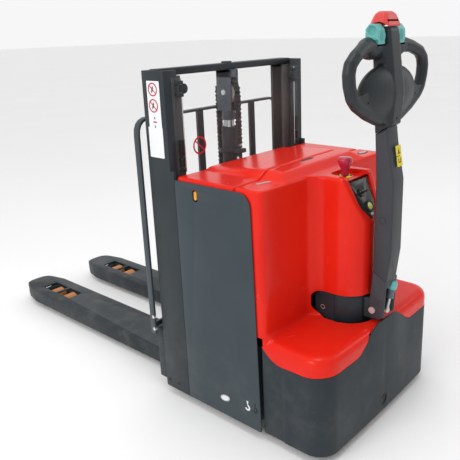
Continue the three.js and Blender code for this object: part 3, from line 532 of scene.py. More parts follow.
def makeCamera():
    azimuth, elevation, roll = (math.radians(cameraSetup[k]) for k in ("azimuth", "elevation", "roll"))
    level = math.cos(elevation)
    back = Vector((math.sin(azimuth) * level, -math.cos(azimuth) * level, math.sin(elevation)))
    right = Vector((0, 0, 1)).cross(back).normalized()
    upward = back.cross(right)
    tiltedRight = math.cos(roll) * right + math.sin(roll) * upward
    tiltedUp = math.cos(roll) * upward - math.sin(roll) * right
    lens = bpy.data.cameras.new("camera")
    lens.sensor_width, lens.lens = 36, cameraSetup["lens"]
    lens.shift_x, lens.shift_y = cameraSetup["shift"]
    camera = bpy.data.objects.new("camera", lens)
    scene.collection.objects.link(camera)
    turn = Matrix((tiltedRight, tiltedUp, back)).transposed().to_4x4()
    camera.matrix_world = Matrix.Translation(cameraSetup["place"]) @ turn
    scene.camera = camera


makeStage()
softLight("key", (-3.6, -0.6, 2.6), (0, -0.4, 0.6), 1.6, 46)
softLight("back", (2.6, -2.4, 2.4), (0, -0.6, 0.6), 1.2, 8)
softLight("top", (-0.6, -0.9, 4.2), (0, -0.4, 0.4), 1.2, 26)
makeCamera()
scene.view_settings.view_transform = "Standard"
print("stage made")

# the red covers

coverSizes = {
    "half": 0.371, "front": -0.385, "split": -0.649, "gap": 0.0011, "rear": -0.759, "top": 0.890,
    "corner": 0.024, "column": 0.095, "columnRear": -0.939, "columnRound": 0.093, "fillet": 0.052,
    "edge": 0.011, "bottom": 0.25, "crown": 0.205, "foot": 0.252, "crest": 0.9155, "wall": 0.004,
    "stopHole": 0.012,
    "voxel": 0.006, "smoothing": 5,
}
shelfSizes = {
    "half": 0.3685, "rear": -1.0, "corner": 0.076, "bow": 0.006, "top": 0.384, "roll": 0.030, "fillet": 0.055,
}
facetSizes = {"tip": (0, -0.939, 0.732), "lean": 0.467, "rimLean": 0.40, "well": 0.8747}
slotSizes = {"low": 0.3842, "high": 0.478, "end": -0.766, "half": 0.150}
seamSizes = {
    "low": 0.322, "high": 0.398, "start": 0.190, "end": 0.048, "side": -0.739, "sideLow": 0.315,
    "sideRise": 0.052, "sideLength": 0.085,
}


def smoothly(t):
    t = min(max(t, 0), 1)
    return t * t * (3 - 2 * t)


def seamHeight(x, y):
    # where the red moulding meets the skirt
    s = seamSizes
    middle = smoothly((s["start"] - abs(x)) / (s["start"] - s["end"]))
    rear = s["low"] + (s["high"] - s["low"]) * middle
    along = min(max((s["side"] - y) / s["sideLength"], 0), 1)
    side = s["sideLow"] + s["sideRise"] * (1 - along) ** 2
    towardsRear = smoothly((-0.90 - y) / 0.09)
    return side + (rear - side) * towardsRear


def rearPlan(inset, front):
    s = shelfSizes
    half, rear = s["half"] - inset, s["rear"] + inset
    corner = s["corner"] - inset
    return [
        (-half, front, 0), (-half, rear + s["bow"], corner), (0, rear, 6.0), (half, rear + s["bow"], corner),
        (half, front, 0)]


facetPlace = Matrix.Translation(facetSizes["tip"]) @ Matrix.Rotation(-facetSizes["lean"], 4, "X")


def onFacet(item):
    # a piece drawn upright at the origin is set on the sloping face
    item.data.transform(facetPlace)
    return item


def coverTower(bm):
    s = coverSizes
    sides = (-1, 1)
    plan = rounded([
        (-s["half"], s["split"], 0.004), (-s["half"], s["rear"], s["corner"]),
        (-s["column"], s["rear"], s["fillet"]), (-s["column"], s["columnRear"], s["columnRound"]),
        (s["column"], s["columnRear"], s["columnRound"]), (s["column"], s["rear"], s["fillet"]),
        (s["half"], s["rear"], s["corner"]), (s["half"], s["split"], 0.004)], 9)
    slab(bm, plan, "z", s["bottom"], s["top"])
    lean = facetSizes["rimLean"]
    made = bmesh.ops.bisect_plane(
        bm, geom=bm.verts[:] + bm.edges[:] + bm.faces[:], dist=1e-6, plane_co=facetSizes["tip"],
        plane_no=(0, -math.cos(lean), math.sin(lean)), clear_outer=True)
    rim = [e for e in made["geom_cut"] if isinstance(e, bmesh.types.BMEdge)]
    bmesh.ops.contextual_create(bm, geom=rim)
    bmesh.ops.recalc_face_normals(bm, faces=bm.faces[:])
    rolled(bm, bm.faces[:], s["top"], s["edge"])
    flat = [(s["split"], s["crest"]), (-0.716, s["crest"])]
    foot = [(s["split"], s["top"] - 0.003), (-0.756, s["top"] - 0.003)]
    hull(bm, [(side * s["crown"], y, z) for y, z in flat for side in sides]
         + [(side * s["foot"], y, z) for y, z in foot for side in sides]
         + [(side * s["foot"], y, s["top"] - 0.03) for y, z in foot for side in sides])


def coverShelf(bm):
    s = shelfSizes
    plan = rounded(rearPlan(0.0, coverSizes["rear"] + 0.03), 10)
    faces = slab(bm, plan, "z", coverSizes["bottom"], s["top"])
    rolled(bm, faces, s["top"], s["roll"], 6)
    wall, top, fillet = coverSizes["rear"], s["top"], s["fillet"]
    outline = rounded([
        (wall + 0.01, top + fillet, 0), (wall, top + fillet, 0), (wall, top, fillet * 0.98),
        (wall - fillet, top, 0), (wall - fillet, top - 0.01, 0), (wall + 0.01, top - 0.01, 0)], 8)
    for side in (-1, 1):
        before = set(bm.verts)
        slab(bm, outline, "x", min(side * 0.150, side * 0.352), max(side * 0.150, side * 0.352))
        for vert in set(bm.verts) - before:
            if abs(vert.co.x) < 0.2:
                vert.co.y = wall + (vert.co.y - wall) * 0.2
                vert.co.z = top + (vert.co.z - top) * 0.2


def seamCutter():
    # a thick curtain along the skirt, as high as the seam
    item = skirtWall("seam_cutter", 0.2, 0.0006)
    return walled(item, 0.019, 0.1)


def skirtWall(name, bottom, lift):
    line = rounded(rearPlan(0, seamSizes["side"] - 0.003), 12)
    # a shallow step behind each side panel
    front = [Vector((0.003 - shelfSizes["half"], y)) for y in (-0.742, -0.826)]
    line = front + [Vector((line[0].x, -0.834))] + line[1:-1]
    line += [Vector((-p.x, p.y)) for p in reversed(line[:3])]
    bm = bmesh.new()
    verts = [bm.verts.new((*p, bottom)) for p in spaced(line, 0.008)]
    edges = [bm.edges.new(pair) for pair in zip(verts, verts[1:])]
    made = bmesh.ops.extrude_edge_only(bm, edges=edges)["geom"]
    for vert in made:
        if isinstance(vert, bmesh.types.BMVert):
            vert.co.z = seamHeight(vert.co.x, vert.co.y) + lift
    bm.normal_update()
    if sum(f.normal.dot(f.calc_center_median() - Vector((0, -0.8, 0.2))) for f in bm.faces) < 0:
        bmesh.ops.reverse_faces(bm, faces=bm.faces[:])
    return asObject(name, bm)


def coverOpens(face):
    # true for the skin's faces below, towards the battery, and behind the side panels
    s = coverSizes
    x, y, z = face.calc_center_median()
    inFront = y > s["split"] - 0.004 and face.normal.y > 0.9 and z < 0.86
    behindPanel = abs(x) > 0.36 and y > -0.7445 and z < 0.392
    return z < s["bottom"] + 0.02 or inFront or behindPanel


def frontCover():
    s = coverSizes
    bm = bmesh.new()
    coverTower(bm)
    coverShelf(bm)
    item = fused("front_cover_shell", bm, s["voxel"], s["smoothing"])
    # the sunk place of the control panel, and the well of the stop button above it
    pocket = bmesh.new()
    shield = rounded([
        (-0.009, 0.008, 0.006), (0.009, 0.008, 0.006), (0.0495, 0.059, 0.022), (0.066, 0.159, 0.004),
        (-0.066, 0.159, 0.004), (-0.0495, 0.059, 0.022)], 6)
    slab(pocket, shield, "y", -0.07, -0.0001)
    panelPocket = onFacet(asObject("panel_pocket", pocket))
    well = bmesh.new()
    slab(well, rounded([
        (-0.0665, -0.880, 0), (-0.052, -0.790, 0.03), (0.052, -0.790, 0.03), (0.0665, -0.880, 0)], 8),
        "z", facetSizes["well"], 0.97)
    cutFrom(item, [panelPocket, asObject("stop_well", well)])
    openings = bmesh.new()
    t = slotSizes
    slab(openings, rounded([
        (-0.965, t["low"], 0), (-0.965, t["high"], 0), (t["end"], t["high"], 0.020),
        (t["end"], t["low"], 0.052)], 10), "x", -t["half"], t["half"])
    cylinder(openings, "z", s["stopHole"], 0.85, 0.884, middleOf("emergency_stop_button")[:2], 32)
    opened(item, asObject("cover_openings", openings))
    opened(item, seamCutter())
    without(item, coverOpens)
    walled(reShaded(item, 40), s["wall"])
    return placed(reShaded(item, 40), "chassis", materials["cover"], ["front_cover"])


def pumpHood():
    s = coverSizes
    rear = s["split"] + s["gap"]
    bm = bmesh.new()
    plan = rounded([
        (-s["half"], s["front"], 0.004), (-s["half"], rear, 0.004), (s["half"], rear, 0.004),
        (s["half"], s["front"], 0.004)], 3)
    rolled(bm, slab(bm, plan, "z", 0.82, s["top"]), s["top"], s["edge"])
    sides = (-1, 1)
    ridge = ((s["front"], 0.897), (rear, s["crest"]))
    crown = [(side * s["crown"], y, z) for y, z in ridge for side in sides]
    hull(bm, crown + [
        (side * s["foot"], y, z) for y in (s["front"], rear) for z in (s["top"] - 0.003, s["top"] - 0.03)
        for side in sides])
    item = fused("pump_hood_shell", bm, s["voxel"], s["smoothing"])
    bm = bmesh.new()
    bm.from_mesh(item.data)
    bmesh.ops.bisect_plane(
        bm, geom=bm.verts[:] + bm.edges[:] + bm.faces[:], dist=1e-6, plane_co=(0, 0, 0.852),
        plane_no=(0, 0, -1), clear_outer=True)
    bm.to_mesh(item.data)
    bm.free()
    walled(item, s["wall"])
    return placed(reShaded(item, 40), "chassis", materials["cover"], ["pump_hood"])


frontCover()
pumpHood()
print("covers made")

# the bumper skirt

skirtSizes = {"bottom": 0.030, "wall": 0.005, "edge": 0.0015, "towRadius": 0.021, "towHeight": 0.074}


def bumperSkirt():
    s = skirtSizes
    item = walled(skirtWall("bumper_skirt_shell", s["bottom"], -0.0012), s["wall"])
    hole = bmesh.new()
    cylinder(hole, "y", s["towRadius"], -1.06, -0.95, (0, s["towHeight"]), 40)
    cutFrom(item, [asObject("tow_hole", hole)])
    softEdges(item, s["edge"], 2, 40)
    return placed(item, "chassis", materials["skirt"], ["bumper_skirt"])


bumperSkirt()
print("skirt made")

# side panels and their marks

panelSizes = {
    "face": 0.378, "thick": 0.005, "front": -0.3816, "rear": -0.737, "lean": 0.018, "bottom": 0.031,
    "top": 0.879, "round": 0.048, "edge": 0.0018, "slot": (-0.478, 0.8375), "slotHalf": (0.0115, 0.0205),
}


def sidePanel(name, side):
    s = panelSizes
    bm = bmesh.new()
    slab(bm, rounded([
        (s["front"], s["bottom"], 0.002), (s["front"], s["top"], 0.004),
        (s["rear"] + s["lean"], s["top"], s["round"]), (s["rear"], s["bottom"], 0.004)], 10),
        "x", *sorted((side * s["face"], side * (s["face"] - s["thick"]))))
    y, z = s["slot"]
    a, b = s["slotHalf"]
    slot = bmesh.new()
    slab(slot, rectangle(y - a, y + a, z - b, z + b, a * 0.95, 5), "x", -0.4, 0.4)
    item = cutFrom(asObject(name + "_plate", bm), [asObject("panel_slot", slot)])
    softEdges(item, s["edge"], 2, 40)
    return placed(item, "chassis", materials["panel"], [name])


def onPanel(name, outline, material, lift=0.0004, side=-1, face=0.378):
    # a thin flat mark drawn in Y and Z on an outer side face
    bm = bmesh.new()
    slab(bm, outline, "x", *sorted((side * (face - 0.0004), side * (face + lift))))
    return placed(asObject(name, bm), "chassis", materials[material])


def oval(y, z, a, b, turn=0.0, count=28):
    spin = Matrix.Rotation(turn, 2)
    around = [2 * math.pi * i / count for i in range(count)]
    return [spin @ Vector((a * math.cos(t), b * math.sin(t))) + Vector((y, z)) for t in around]


def hookOutline(y, z, size):
    # an open hook: three quarters of a ring with a neck on top
    start, end = math.radians(-160), math.radians(80)
    arc = [start + (end - start) * i / 18 for i in range(19)]
    outer, inner = (
        [Vector((y - math.cos(t) * size * r, z - size * 0.45 + math.sin(t) * size * r)) for t in arc]
        for r in (0.5, 0.24))
    neck = [Vector((y - size * 0.2, z + size * 0.62)), Vector((y + size * 0.16, z + size * 0.62))]
    return outer + neck + inner[::-1]


for name, side in (("left_side_panel", -1), ("right_side_panel", 1)):
    sidePanel(name, side)
    y, z = panelSizes["slot"]
    insert = rectangle(y - 0.007, y + 0.006, z - 0.015, z + 0.015, 0.006, 4)
    name = name.split("_")[0] + "_panel_insert"
    onPanel(name, insert, "amber", 0.004, side, 0.3725)
onPanel("rating_badge", oval(-0.572, 0.1025, 0.0235, 0.0125, -0.25), "badge", 0.0012)
onPanel("rating_badge_face", oval(-0.572, 0.1025, 0.019, 0.009, -0.25), "white", 0.0016)
onPanel("hook_mark_white", hookOutline(-0.678, 0.119, 0.024), "white", 0.0005)
onPanel("hook_mark_black", hookOutline(-0.712, 0.122, 0.024), "black", 0.0005)
print("side panels made")

# marks on the mast

mastMarks = {
    "sticker": (-0.340, -0.277, 1.052, 1.207), "lowerSticker": (-0.342, -0.270, 0.948, 1.053),
    "rings": ((-0.3065, 1.179), (-0.3055, 1.125)), "ringRadius": 0.0225, "ringWidth": 0.0038,
}


def forbidRing(name, centre, axis, radius, width):
    # a plain ring with a bar across, with nothing lettered on it
    bm = bmesh.new()
    thick = 0.0006
    inner = radius - width
    turned(bm, [(inner, 0), (radius, 0), (radius, thick), (inner, thick), (inner, 0)], "z", (0, 0, 0), 48)
    bar = bmesh.ops.create_cube(bm, size=1, matrix=Matrix.Translation((0, 0, thick / 2))
                                @ Matrix.Rotation(math.radians(-42), 4, "Z")
                                @ Matrix.Diagonal((2 * radius - width, width * 0.8, thick * 0.9, 1)))["verts"]
    facing = {"x": Matrix.Rotation(-math.pi / 2, 4, "Y") @ Matrix.Rotation(math.pi / 2, 4, "Z"),
              "y": Matrix.Rotation(math.pi / 2, 4, "X")}[axis]
    bmesh.ops.transform(bm, matrix=Matrix.Translation(centre) @ facing, verts=bm.verts[:])
    return placed(asObject(name, bm), "chassis", materials["ring"])


onPanel("mast_sticker", rectangle(*mastMarks["sticker"]), "white", 0.0004)
onPanel("mast_sticker_lower", rectangle(*mastMarks["lowerSticker"]), "white", 0.0006)
for i, (y, z) in enumerate(mastMarks["rings"]):
    forbidRing(f"sticker_ring_{i + 1}", (-0.3788, y, z), "x", mastMarks["ringRadius"], mastMarks["ringWidth"])
    figure = oval(y + 0.002, z, 0.0035, 0.012, 0.3)
    onPanel(f"sticker_figure_{i + 1}", figure, "black", 0.0006)
onPanel("sticker_dash", rectangle(-0.316, -0.298, 1.068, 1.073, 0.001), "ring", 0.0007)
for i, z in enumerate((1.084, 1.055)):
    onPanel(f"sticker_dot_{i + 1}", oval(-0.307, z, 0.0025, 0.005), "black", 0.0007)
forbidRing("guard_ring", (-0.235, -0.3676, 0.974), "y", 0.032, 0.0062)
# two thin black ovals low on the side: painted shade standing in for the dark inside of two holes
for i, y in enumerate((-0.272, -0.324)):
    onPanel(f"foot_hole_painted_shade_{i + 1}", oval(y, 0.0615, 0.006, 0.006), "black", 0.0006)
print("marks made")

# the tiller

headSizes = {
    "plane": -0.975, "voxel": 0.0034, "smoothing": 4, "dome": (0.168, 0.043, 0.088),
    "domeHeight": 1.163, "seat": 0.036, "seamPoint": (0, -0.914, 1.014), "seamSlope": 0.573,
    # across, back, height, radius
    "grip": (
        (0.045, -0.949, 1.297, 0.034), (0.078, -0.949, 1.297, 0.034), (0.112, -0.957, 1.302, 0.025),
        (0.150, -0.968, 1.296, 0.020), (0.196, -0.975, 1.279, 0.0195), (0.222, -0.975, 1.258, 0.0195),
        (0.2300, -0.975, 1.232, 0.0195), (0.2260, -0.975, 1.200, 0.0195), (0.2110, -0.975, 1.163, 0.0195),
        (0.188, -0.975, 1.141, 0.0195), (0.130, -0.975, 1.112, 0.021), (0.070, -0.975, 1.090, 0.022)),
    # across, half depth and height of the web under the grip
    "web": (
        (0.206, 0.014, 1.168), (0.188, 0.016, 1.136), (0.130, 0.019, 1.106), (0.036, 0.024, 1.066),
        (0.030, 0.022, 1.19)),
    # height, back, front, half width at the back
    "spine": (
        (1.02, -1.004, -0.950, 0.0275), (1.090, -1.010, -0.945, 0.0275), (1.160, -1.0165, -0.941, 0.0275),
        (1.258, -1.0030, -0.935, 0.0275), (1.3480, -0.9915, -0.930, 0.0275),
        (1.3585, -0.985, -0.936, 0.020)),
}


def thumbSeat(side, radius, lift=0.0):
    middle = middleOf(("left" if side < 0 else "right") + "_thumb_wheel")
    bm = bmesh.new()
    cylinder(bm, "x", radius, *sorted((side * 0.0335, side * 0.088)), (middle[1], middle[2] + lift), 40)
    return asObject("thumb_seat", bm)


def tillerHead():
    s = headSizes
    plane = s["plane"]
    bm = bmesh.new()
    for side in (-1, 1):
        stops = [((side * x, y, z), r) for x, y, z, r in s["grip"]]
        for (start, startRadius), (end, endRadius) in zip(stops, stops[1:]):
            for place, radius in ((start, startRadius), (end, endRadius)):
                bmesh.ops.create_uvsphere(
                    bm, u_segments=20, v_segments=12, radius=radius, matrix=Matrix.Translation(place))
            way = Vector(end) - Vector(start)
            turn = way.to_track_quat("Z", "Y").to_matrix().to_4x4()
            bmesh.ops.create_cone(
                bm, cap_ends=True, segments=20, radius1=startRadius, radius2=endRadius, depth=way.length,
                matrix=Matrix.Translation((Vector(start) + Vector(end)) / 2) @ turn)
        hull(bm, [(side * x, plane + y, z) for x, half, z in s["web"] for y in (-half, half)])
    bmesh.ops.create_uvsphere(
        bm, u_segments=40, v_segments=24, radius=1,
        matrix=Matrix.Translation((0, plane + 0.004, s["domeHeight"])) @ Matrix.Diagonal((*s["dome"], 1)))
    # the spine, from the collar up into the reverse button
    for lower, upper in zip(s["spine"], s["spine"][1:]):
        hull(bm, [
            (side * x, y, z) for z, rear, front, half in (lower, upper)
            for x, y in (
                (half, rear), (half + 0.013, rear + 0.014), (half + 0.0115, front - 0.008), (half, front))
            for side in (-1, 1)])
    item = fused("tiller_head_shell", bm, s["voxel"], s["smoothing"])
    bm = bmesh.new()
    bm.from_mesh(item.data)
    made = bmesh.ops.bisect_plane(
        bm, geom=bm.verts[:] + bm.edges[:] + bm.faces[:], dist=1e-6, plane_co=s["seamPoint"],
        plane_no=(0, s["seamSlope"], 1), clear_inner=True)
    bmesh.ops.contextual_create(bm, geom=[e for e in made["geom_cut"] if isinstance(e, bmesh.types.BMEdge)])
    bm.to_mesh(item.data)
    bm.free()
    cuts = bmesh.new()
    gap = 0.0006
    for low, high in (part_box("lift_button"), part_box("lower_button")):
        block(cuts, (low[0] - gap, low[1] - 0.003, low[2] - gap), (high[0] + gap, -0.90, high[2] + gap))
    for x, z in ((-0.150, 1.146), (0.150, 1.146), (-0.004, 1.086)):
        cylinder(cuts, "y", 0.0038, -1.05, -0.990, (x, z), 16)
    cutFrom(item, [asObject("head_cuts", cuts), thumbSeat(-1, s["seat"]), thumbSeat(1, s["seat"])])
    return placed(reShaded(item, 42), "tiller", materials["head"], ["tiller_head"])


bellySizes = {
    "middle": -0.9575, "bottom": 1.3585, "voxel": 0.0022, "smoothing": 5, "seat": 0.0365, "press": 0.0036,
    "roomLow": (-0.0355, -0.9875, 1.340), "roomHigh": (0.0355, -0.9285, 1.3785),
    # height, half width, half depth
    "levels": (
        (0.0, 0.0490, 0.0335), (0.006, 0.0500, 0.0325), (0.022, 0.0430, 0.0275), (0.036, 0.0355, 0.0215),
        (0.0435, 0.0240, 0.0130)),
}


def bellyButton():
    s = bellySizes
    bm = bmesh.new()
    for lower, upper in zip(s["levels"], s["levels"][1:]):
        hull(bm, [
            (side * x, s["middle"] + way * y, s["bottom"] + z) for z, half, depth in (lower, upper)
            for x, y in ((half, depth * 0.55), (half * 0.72, depth)) for side in (-1, 1) for way in (-1, 1)])
    item = fused("belly_button_cap", bm, s["voxel"], s["smoothing"])
    room = bmesh.new()
    block(room, s["roomLow"], s["roomHigh"])
    # each thumb wheel's seat, at rest and with the button pressed
    seats = [thumbSeat(side, s["seat"], lift) for side in (-1, 1) for lift in (0, s["press"])]
    cutFrom(item, seats + [asObject("belly_room", room)])
    return placed(reShaded(item, 42), "belly_button", materials["coral"], ["belly_button"])


thumbSizes = {
    "axis": (-0.960, 1.332), "inner": 0.0425, "outer": 0.0865, "drum": 0.0225, "voxel": 0.0014,
    "profile": (
        (-0.940, 1.327), (-0.940, 1.352), (-0.952, 1.366), (-0.967, 1.3665), (-0.981, 1.350),
        (-0.983, 1.309), (-0.974, 1.307)),
    # across, back, height and the three radii
    "scoops": (
        (0.106, -0.962, 1.347, 0.0330, 0.0200, 0.0200), (0.060, -1.006, 1.334, 0.0175, 0.0345, 0.030),
        (0.104, -0.974, 1.312, 0.026, 0.030, 0.014)),
}


def thumbWheel(name, side):
    # a wheel with two wings, and a hollow for the thumb at its end and at its back
    s = thumbSizes
    bm = bmesh.new()
    hull(bm, [(side * x, y, z) for x in (s["inner"], s["outer"]) for y, z in s["profile"]])
    ends = sorted((side * (s["inner"] - 0.004), side * (s["outer"] - 0.004)))
    cylinder(bm, "x", s["drum"], *ends, s["axis"], 32)
    item = asObject(name + "_core", bm)
    skin = item.modifiers.new("skin", "REMESH")
    skin.mode, skin.voxel_size = "VOXEL", s["voxel"]
    scoops = bmesh.new()
    for x, y, z, *radii in s["scoops"]:
        bmesh.ops.create_uvsphere(
            scoops, u_segments=32, v_segments=20, radius=1,
            matrix=Matrix.Translation((side * x, y, z)) @ Matrix.Diagonal((*radii, 1)))
    cutFrom(baked(item), [asObject("scoops", scoops)])
    smooth = item.modifiers.new("smooth", "SMOOTH")
    smooth.factor, smooth.iterations = 0.5, 3
    item = reShaded(baked(item), 60)
    return placed(item, "thumb_wheels", materials["turquoise"], [name])


def armPlates():
    # the bracket plates welded over the arm's foot, with their round plug
    outline = rounded([
        (-0.9620, 0.570, 0.002), (-1.0115, 0.545, 0.002), (-1.0040, 0.4125, 0.003), (-0.985, 0.400, 0.003),
        (-0.957, 0.404, 0.006), (-0.950, 0.452, 0.006)], 4)
    for name, side in (("left", -1), ("right", 1)):
        bm = bmesh.new()
        slab(bm, outline, "x", *sorted((side * 0.0358, side * 0.0386)))
        cylinder(bm, "x", 0.0095, *sorted((side * 0.038, side * 0.0412)), (-0.993, 0.463), 28)
        cylinder(bm, "x", 0.0115, *sorted((side * 0.0358, side * 0.0385)), (-0.990, 0.755), 32)
        item = softEdges(asObject(name + "_arm_plate", bm), 0.0008, 2, 40)
        placed(item, "tiller", materials["arm"])


strutSizes = {
    "foot": (0.004, -0.996, 0.424), "lean": 6, "tilt": 9, "coil": 0.046, "coilStep": 0.0042, "coils": 9,
    "cap": ((0, 0.079), (0.0150, 0.079), (0.0175, 0.085), (0.0170, 0.100), (0.0130, 0.108), (0, 0.110)),
    "rod": ((0, -0.008), (0.006, -0.008), (0.009, -0.002), (0.009, 0.004), (0.0052, 0.011),
            (0.0052, 0.0445), (0, 0.0445)),
}


def gasSpring():
    # a slanted strut seen in the opening at the back of the arm; its foot stays with the bracket
    s = strutSizes
    lean = Matrix.Translation(s["foot"]) @ Matrix.Rotation(math.radians(s["lean"]), 4, "X") \
        @ Matrix.Rotation(math.radians(s["tilt"]), 4, "Y")
    coil = [(0.0120 if i % 2 else 0.0135, s["coil"] + s["coilStep"] * i) for i in range(s["coils"])]
    coil = [(0, s["coil"]), *coil, (0, s["coil"] + s["coilStep"] * (s["coils"] - 1))]
    parts = (
        ("gas_spring_body", coil, "strut", "spring_steel", ["gas_spring"], "tiller"),
        ("gas_spring_cap", s["cap"], "turquoise", "turquoise_plastic", [], "tiller"),
        ("gas_spring_foot", s["rod"], "zinc", "bright_steel", [], "steering_unit"),
    )
    for name, profile, finish, slot, stands, body in parts:
        bm = bmesh.new()
        turned(bm, profile, "z", (0, 0, 0), 28)
        bmesh.ops.transform(bm, matrix=lean, verts=bm.verts[:])
        placed(asObject(name, bm), body, materials[finish], stands)
    bm = bmesh.new()
    cylinder(bm, "x", 0.005, -0.024, 0.024, (-0.992, 0.424), 20)
    placed(asObject("gas_spring_pin", bm), "steering_unit", materials["brass"])
    # the lower edge of the arm's back wall
    bm = bmesh.new()
    block(bm, (-0.0345, -1.0105, 0.520), (0.0345, -1.0060, 0.572))
    placed(softEdges(asObject("arm_back_wall", bm), 0.001), "tiller", materials["arm"])


def armLabel():
    # a blank yellow label in two squares
    bm = bmesh.new()
    for low, high in ((0.932, 0.9645), (0.967, 0.9995)):
        face = [(-0.008, low), (0.026, low), (0.026, high), (-0.008, high)]
        slab(bm, [Vector(p) for p in face], "y", -1.0, -0.9995)
    lean = Matrix.Translation((0, -1.0221, 0.93)) @ Matrix.Rotation(math.radians(-9.0), 4, "X")
    bmesh.ops.translate(bm, verts=bm.verts[:], vec=(0, 1.0, -0.93))
    bmesh.ops.transform(bm, matrix=lean, verts=bm.verts[:])
    marks = bmesh.new()
    for low, high, left, right in (
            (0.944, 0.947, 0.001, 0.017), (0.9475, 0.959, 0.001, 0.004), (0.9475, 0.959, 0.014, 0.017),
            (0.973, 0.976, 0.001, 0.017), (0.977, 0.984, 0.006, 0.012), (0.986, 0.990, 0.0075, 0.0105)):
        mark = [(left, low), (right, low), (right, high), (left, high)]
        slab(marks, [Vector(p) for p in mark], "y", -1.0004, -0.9998)
    bmesh.ops.translate(marks, verts=marks.verts[:], vec=(0, 1.0, -0.93))
    bmesh.ops.transform(marks, matrix=lean, verts=marks.verts[:])
    placed(asObject("arm_label_marks", marks), "tiller", materials["black"])
    return placed(asObject("arm_label", bm), "tiller", materials["yellow"])


tillerHead()
bellyButton()
thumbWheel("left_thumb_wheel", -1)
thumbWheel("right_thumb_wheel", 1)
dressed("tiller_arm", 0.0012)
armPlates()
gasSpring()
armLabel()
for node in ("lift_button", "lower_button"):
    dressed(node, 0.002, 3)
print("tiller made")

# controls on the cover

def stopButton():
    low, high = (Vector(v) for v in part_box("emergency_stop_button"))
    x, y, top = (low.x + high.x) / 2, (low.y + high.y) / 2, high.z
    bm = bmesh.new()
    # the stem stands clear of the well's floor by the button's travel
    turned(bm, [
        (0, 0.8797), (0.0130, 0.8799), (0.0135, 0.892), (0.0150, 0.902), (0.0205, 0.914),
        (0.0250, top - 0.016), (0.0255, top - 0.010), (0.0240, top - 0.004), (0.0200, top - 0.0005),
        (0, top)], "z", (x, y, 0), 40)
    item = asObject("stop_mushroom", bm, 50)
    placed(item, "emergency_stop", materials["stop"], ["emergency_stop_button"])
    bm = bmesh.new()
    turned(bm, [(0.0145, 0.8746), (0.0265, 0.8746), (0.0262, 0.8768), (0.0155, 0.8785), (0.0145, 0.8785),
                (0.0145, 0.8746)], "z", (x, y, 0), 48)
    placed(asObject("stop_collar", bm), "chassis", materials["yellow"])
    bm = bmesh.new()
    for turn in range(4):
        spot = Matrix.Translation((x, y, 0.8782)) @ Matrix.Rotation(turn * math.pi / 2 + 0.5, 4, "Z")
        hull(bm, [spot @ Vector((r * math.cos(a), r * math.sin(a), h)) for r in (0.0175, 0.0245)
                  for a in (-0.32, 0, 0.32) for h in (-0.001, 0.0006)])
    placed(asObject("stop_collar_marks", bm), "chassis", materials["black"])


def panelControls():
    dressed("control_panel", 0.0012, 2, materials["gloss"])
    bm = bmesh.new()
    turned(bm, [(0.0038, -0.0085), (0.0125, -0.0085), (0.0138, -0.0070), (0.0138, -0.0030), (0.0038, -0.0030),
                (0.0038, -0.0085)], "y", (-0.014, 0, 0.108), 32)
    item = onFacet(asObject("key_switch_ring", bm))
    placed(item, "chassis", materials["black"], ["key_switch"])
    bm = bmesh.new()
    for angle in (0.6, 2.6, 4.6):
        cylinder(bm, "y", 0.0016, -0.0096, -0.0080,
                 (-0.014 + 0.0088 * math.cos(angle), 0.108 + 0.0088 * math.sin(angle)), 12)
    placed(onFacet(asObject("key_switch_contacts", bm)), "chassis", materials["brass"])
    bm = bmesh.new()
    slab(bm, rounded([(-0.0245, 0.1045, 0.003), (-0.0245, 0.1115, 0.003), (-0.0035, 0.1115, 0.003),
                      (-0.0035, 0.1045, 0.003)], 4), "y", -0.032, -0.0135)
    cylinder(bm, "y", 0.0034, -0.0140, -0.0055, (-0.014, 0.108), 16)
    placed(onFacet(softEdges(asObject("ignition_key_bow", bm), 0.0008)), "ignition_key", materials["black"],
           ["ignition_key"])
    bm = bmesh.new()
    turned(bm, [(0.0150, -0.0085), (0.0192, -0.0085), (0.0205, -0.0070), (0.0205, -0.0032), (0.0150, -0.0032),
                (0.0150, -0.0085)], "y", (0.004, 0, 0.056), 40)
    item = onFacet(asObject("gauge_ring", bm))
    placed(item, "chassis", materials["black"], ["battery_gauge"])
    bm = bmesh.new()
    turned(bm, [(0, -0.0112), (0.008, -0.0102), (0.0128, -0.0078), (0.0150, -0.0050), (0, -0.0040)],
           "y", (0.004, 0, 0.056), 32)
    placed(onFacet(asObject("gauge_lens", bm, 60)), "chassis", materials["lime"])
    bm = bmesh.new()
    slab(bm, rounded([
        (-0.006, 0.026, 0.004), (0.013, 0.026, 0.004), (0.009, 0.0335, 0.002), (-0.002, 0.0335, 0.002)], 3),
        "y", -0.0045, -0.0031)
    placed(onFacet(asObject("gauge_plate", bm)), "chassis", materials["badge"])


def onTop(name, outline, low, high, material):
    bm = bmesh.new()
    slab(bm, outline, "z", low, high)
    return placed(asObject(name, bm), "chassis", materials[material])


stopButton()
panelControls()
# a thin black sheet on the hood's top: painted shade standing in for the dark inside of the finger slot
onTop("finger_slot_painted_shade", rounded([(-0.040, -0.674, 0.006), (-0.040, -0.6585, 0.006), (0.034, -0.6585, 0.006),
                              (0.034, -0.674, 0.006)], 4), 0.910, 0.9156, "black")
onTop("left_top_badge", rounded([(-0.300, -0.690, 0.004), (-0.300, -0.678, 0.004), (-0.236, -0.693, 0.004),
                                 (-0.236, -0.705, 0.004)], 4), 0.885, 0.8915, "badge")
onTop("right_top_badge", oval(0.310, -0.706, 0.030, 0.014), 0.885, 0.8912, "black")
onTop("right_top_badge_face", oval(0.310, -0.706, 0.025, 0.0105), 0.885, 0.8918, "badge")
print("controls made")

# round the steering slot

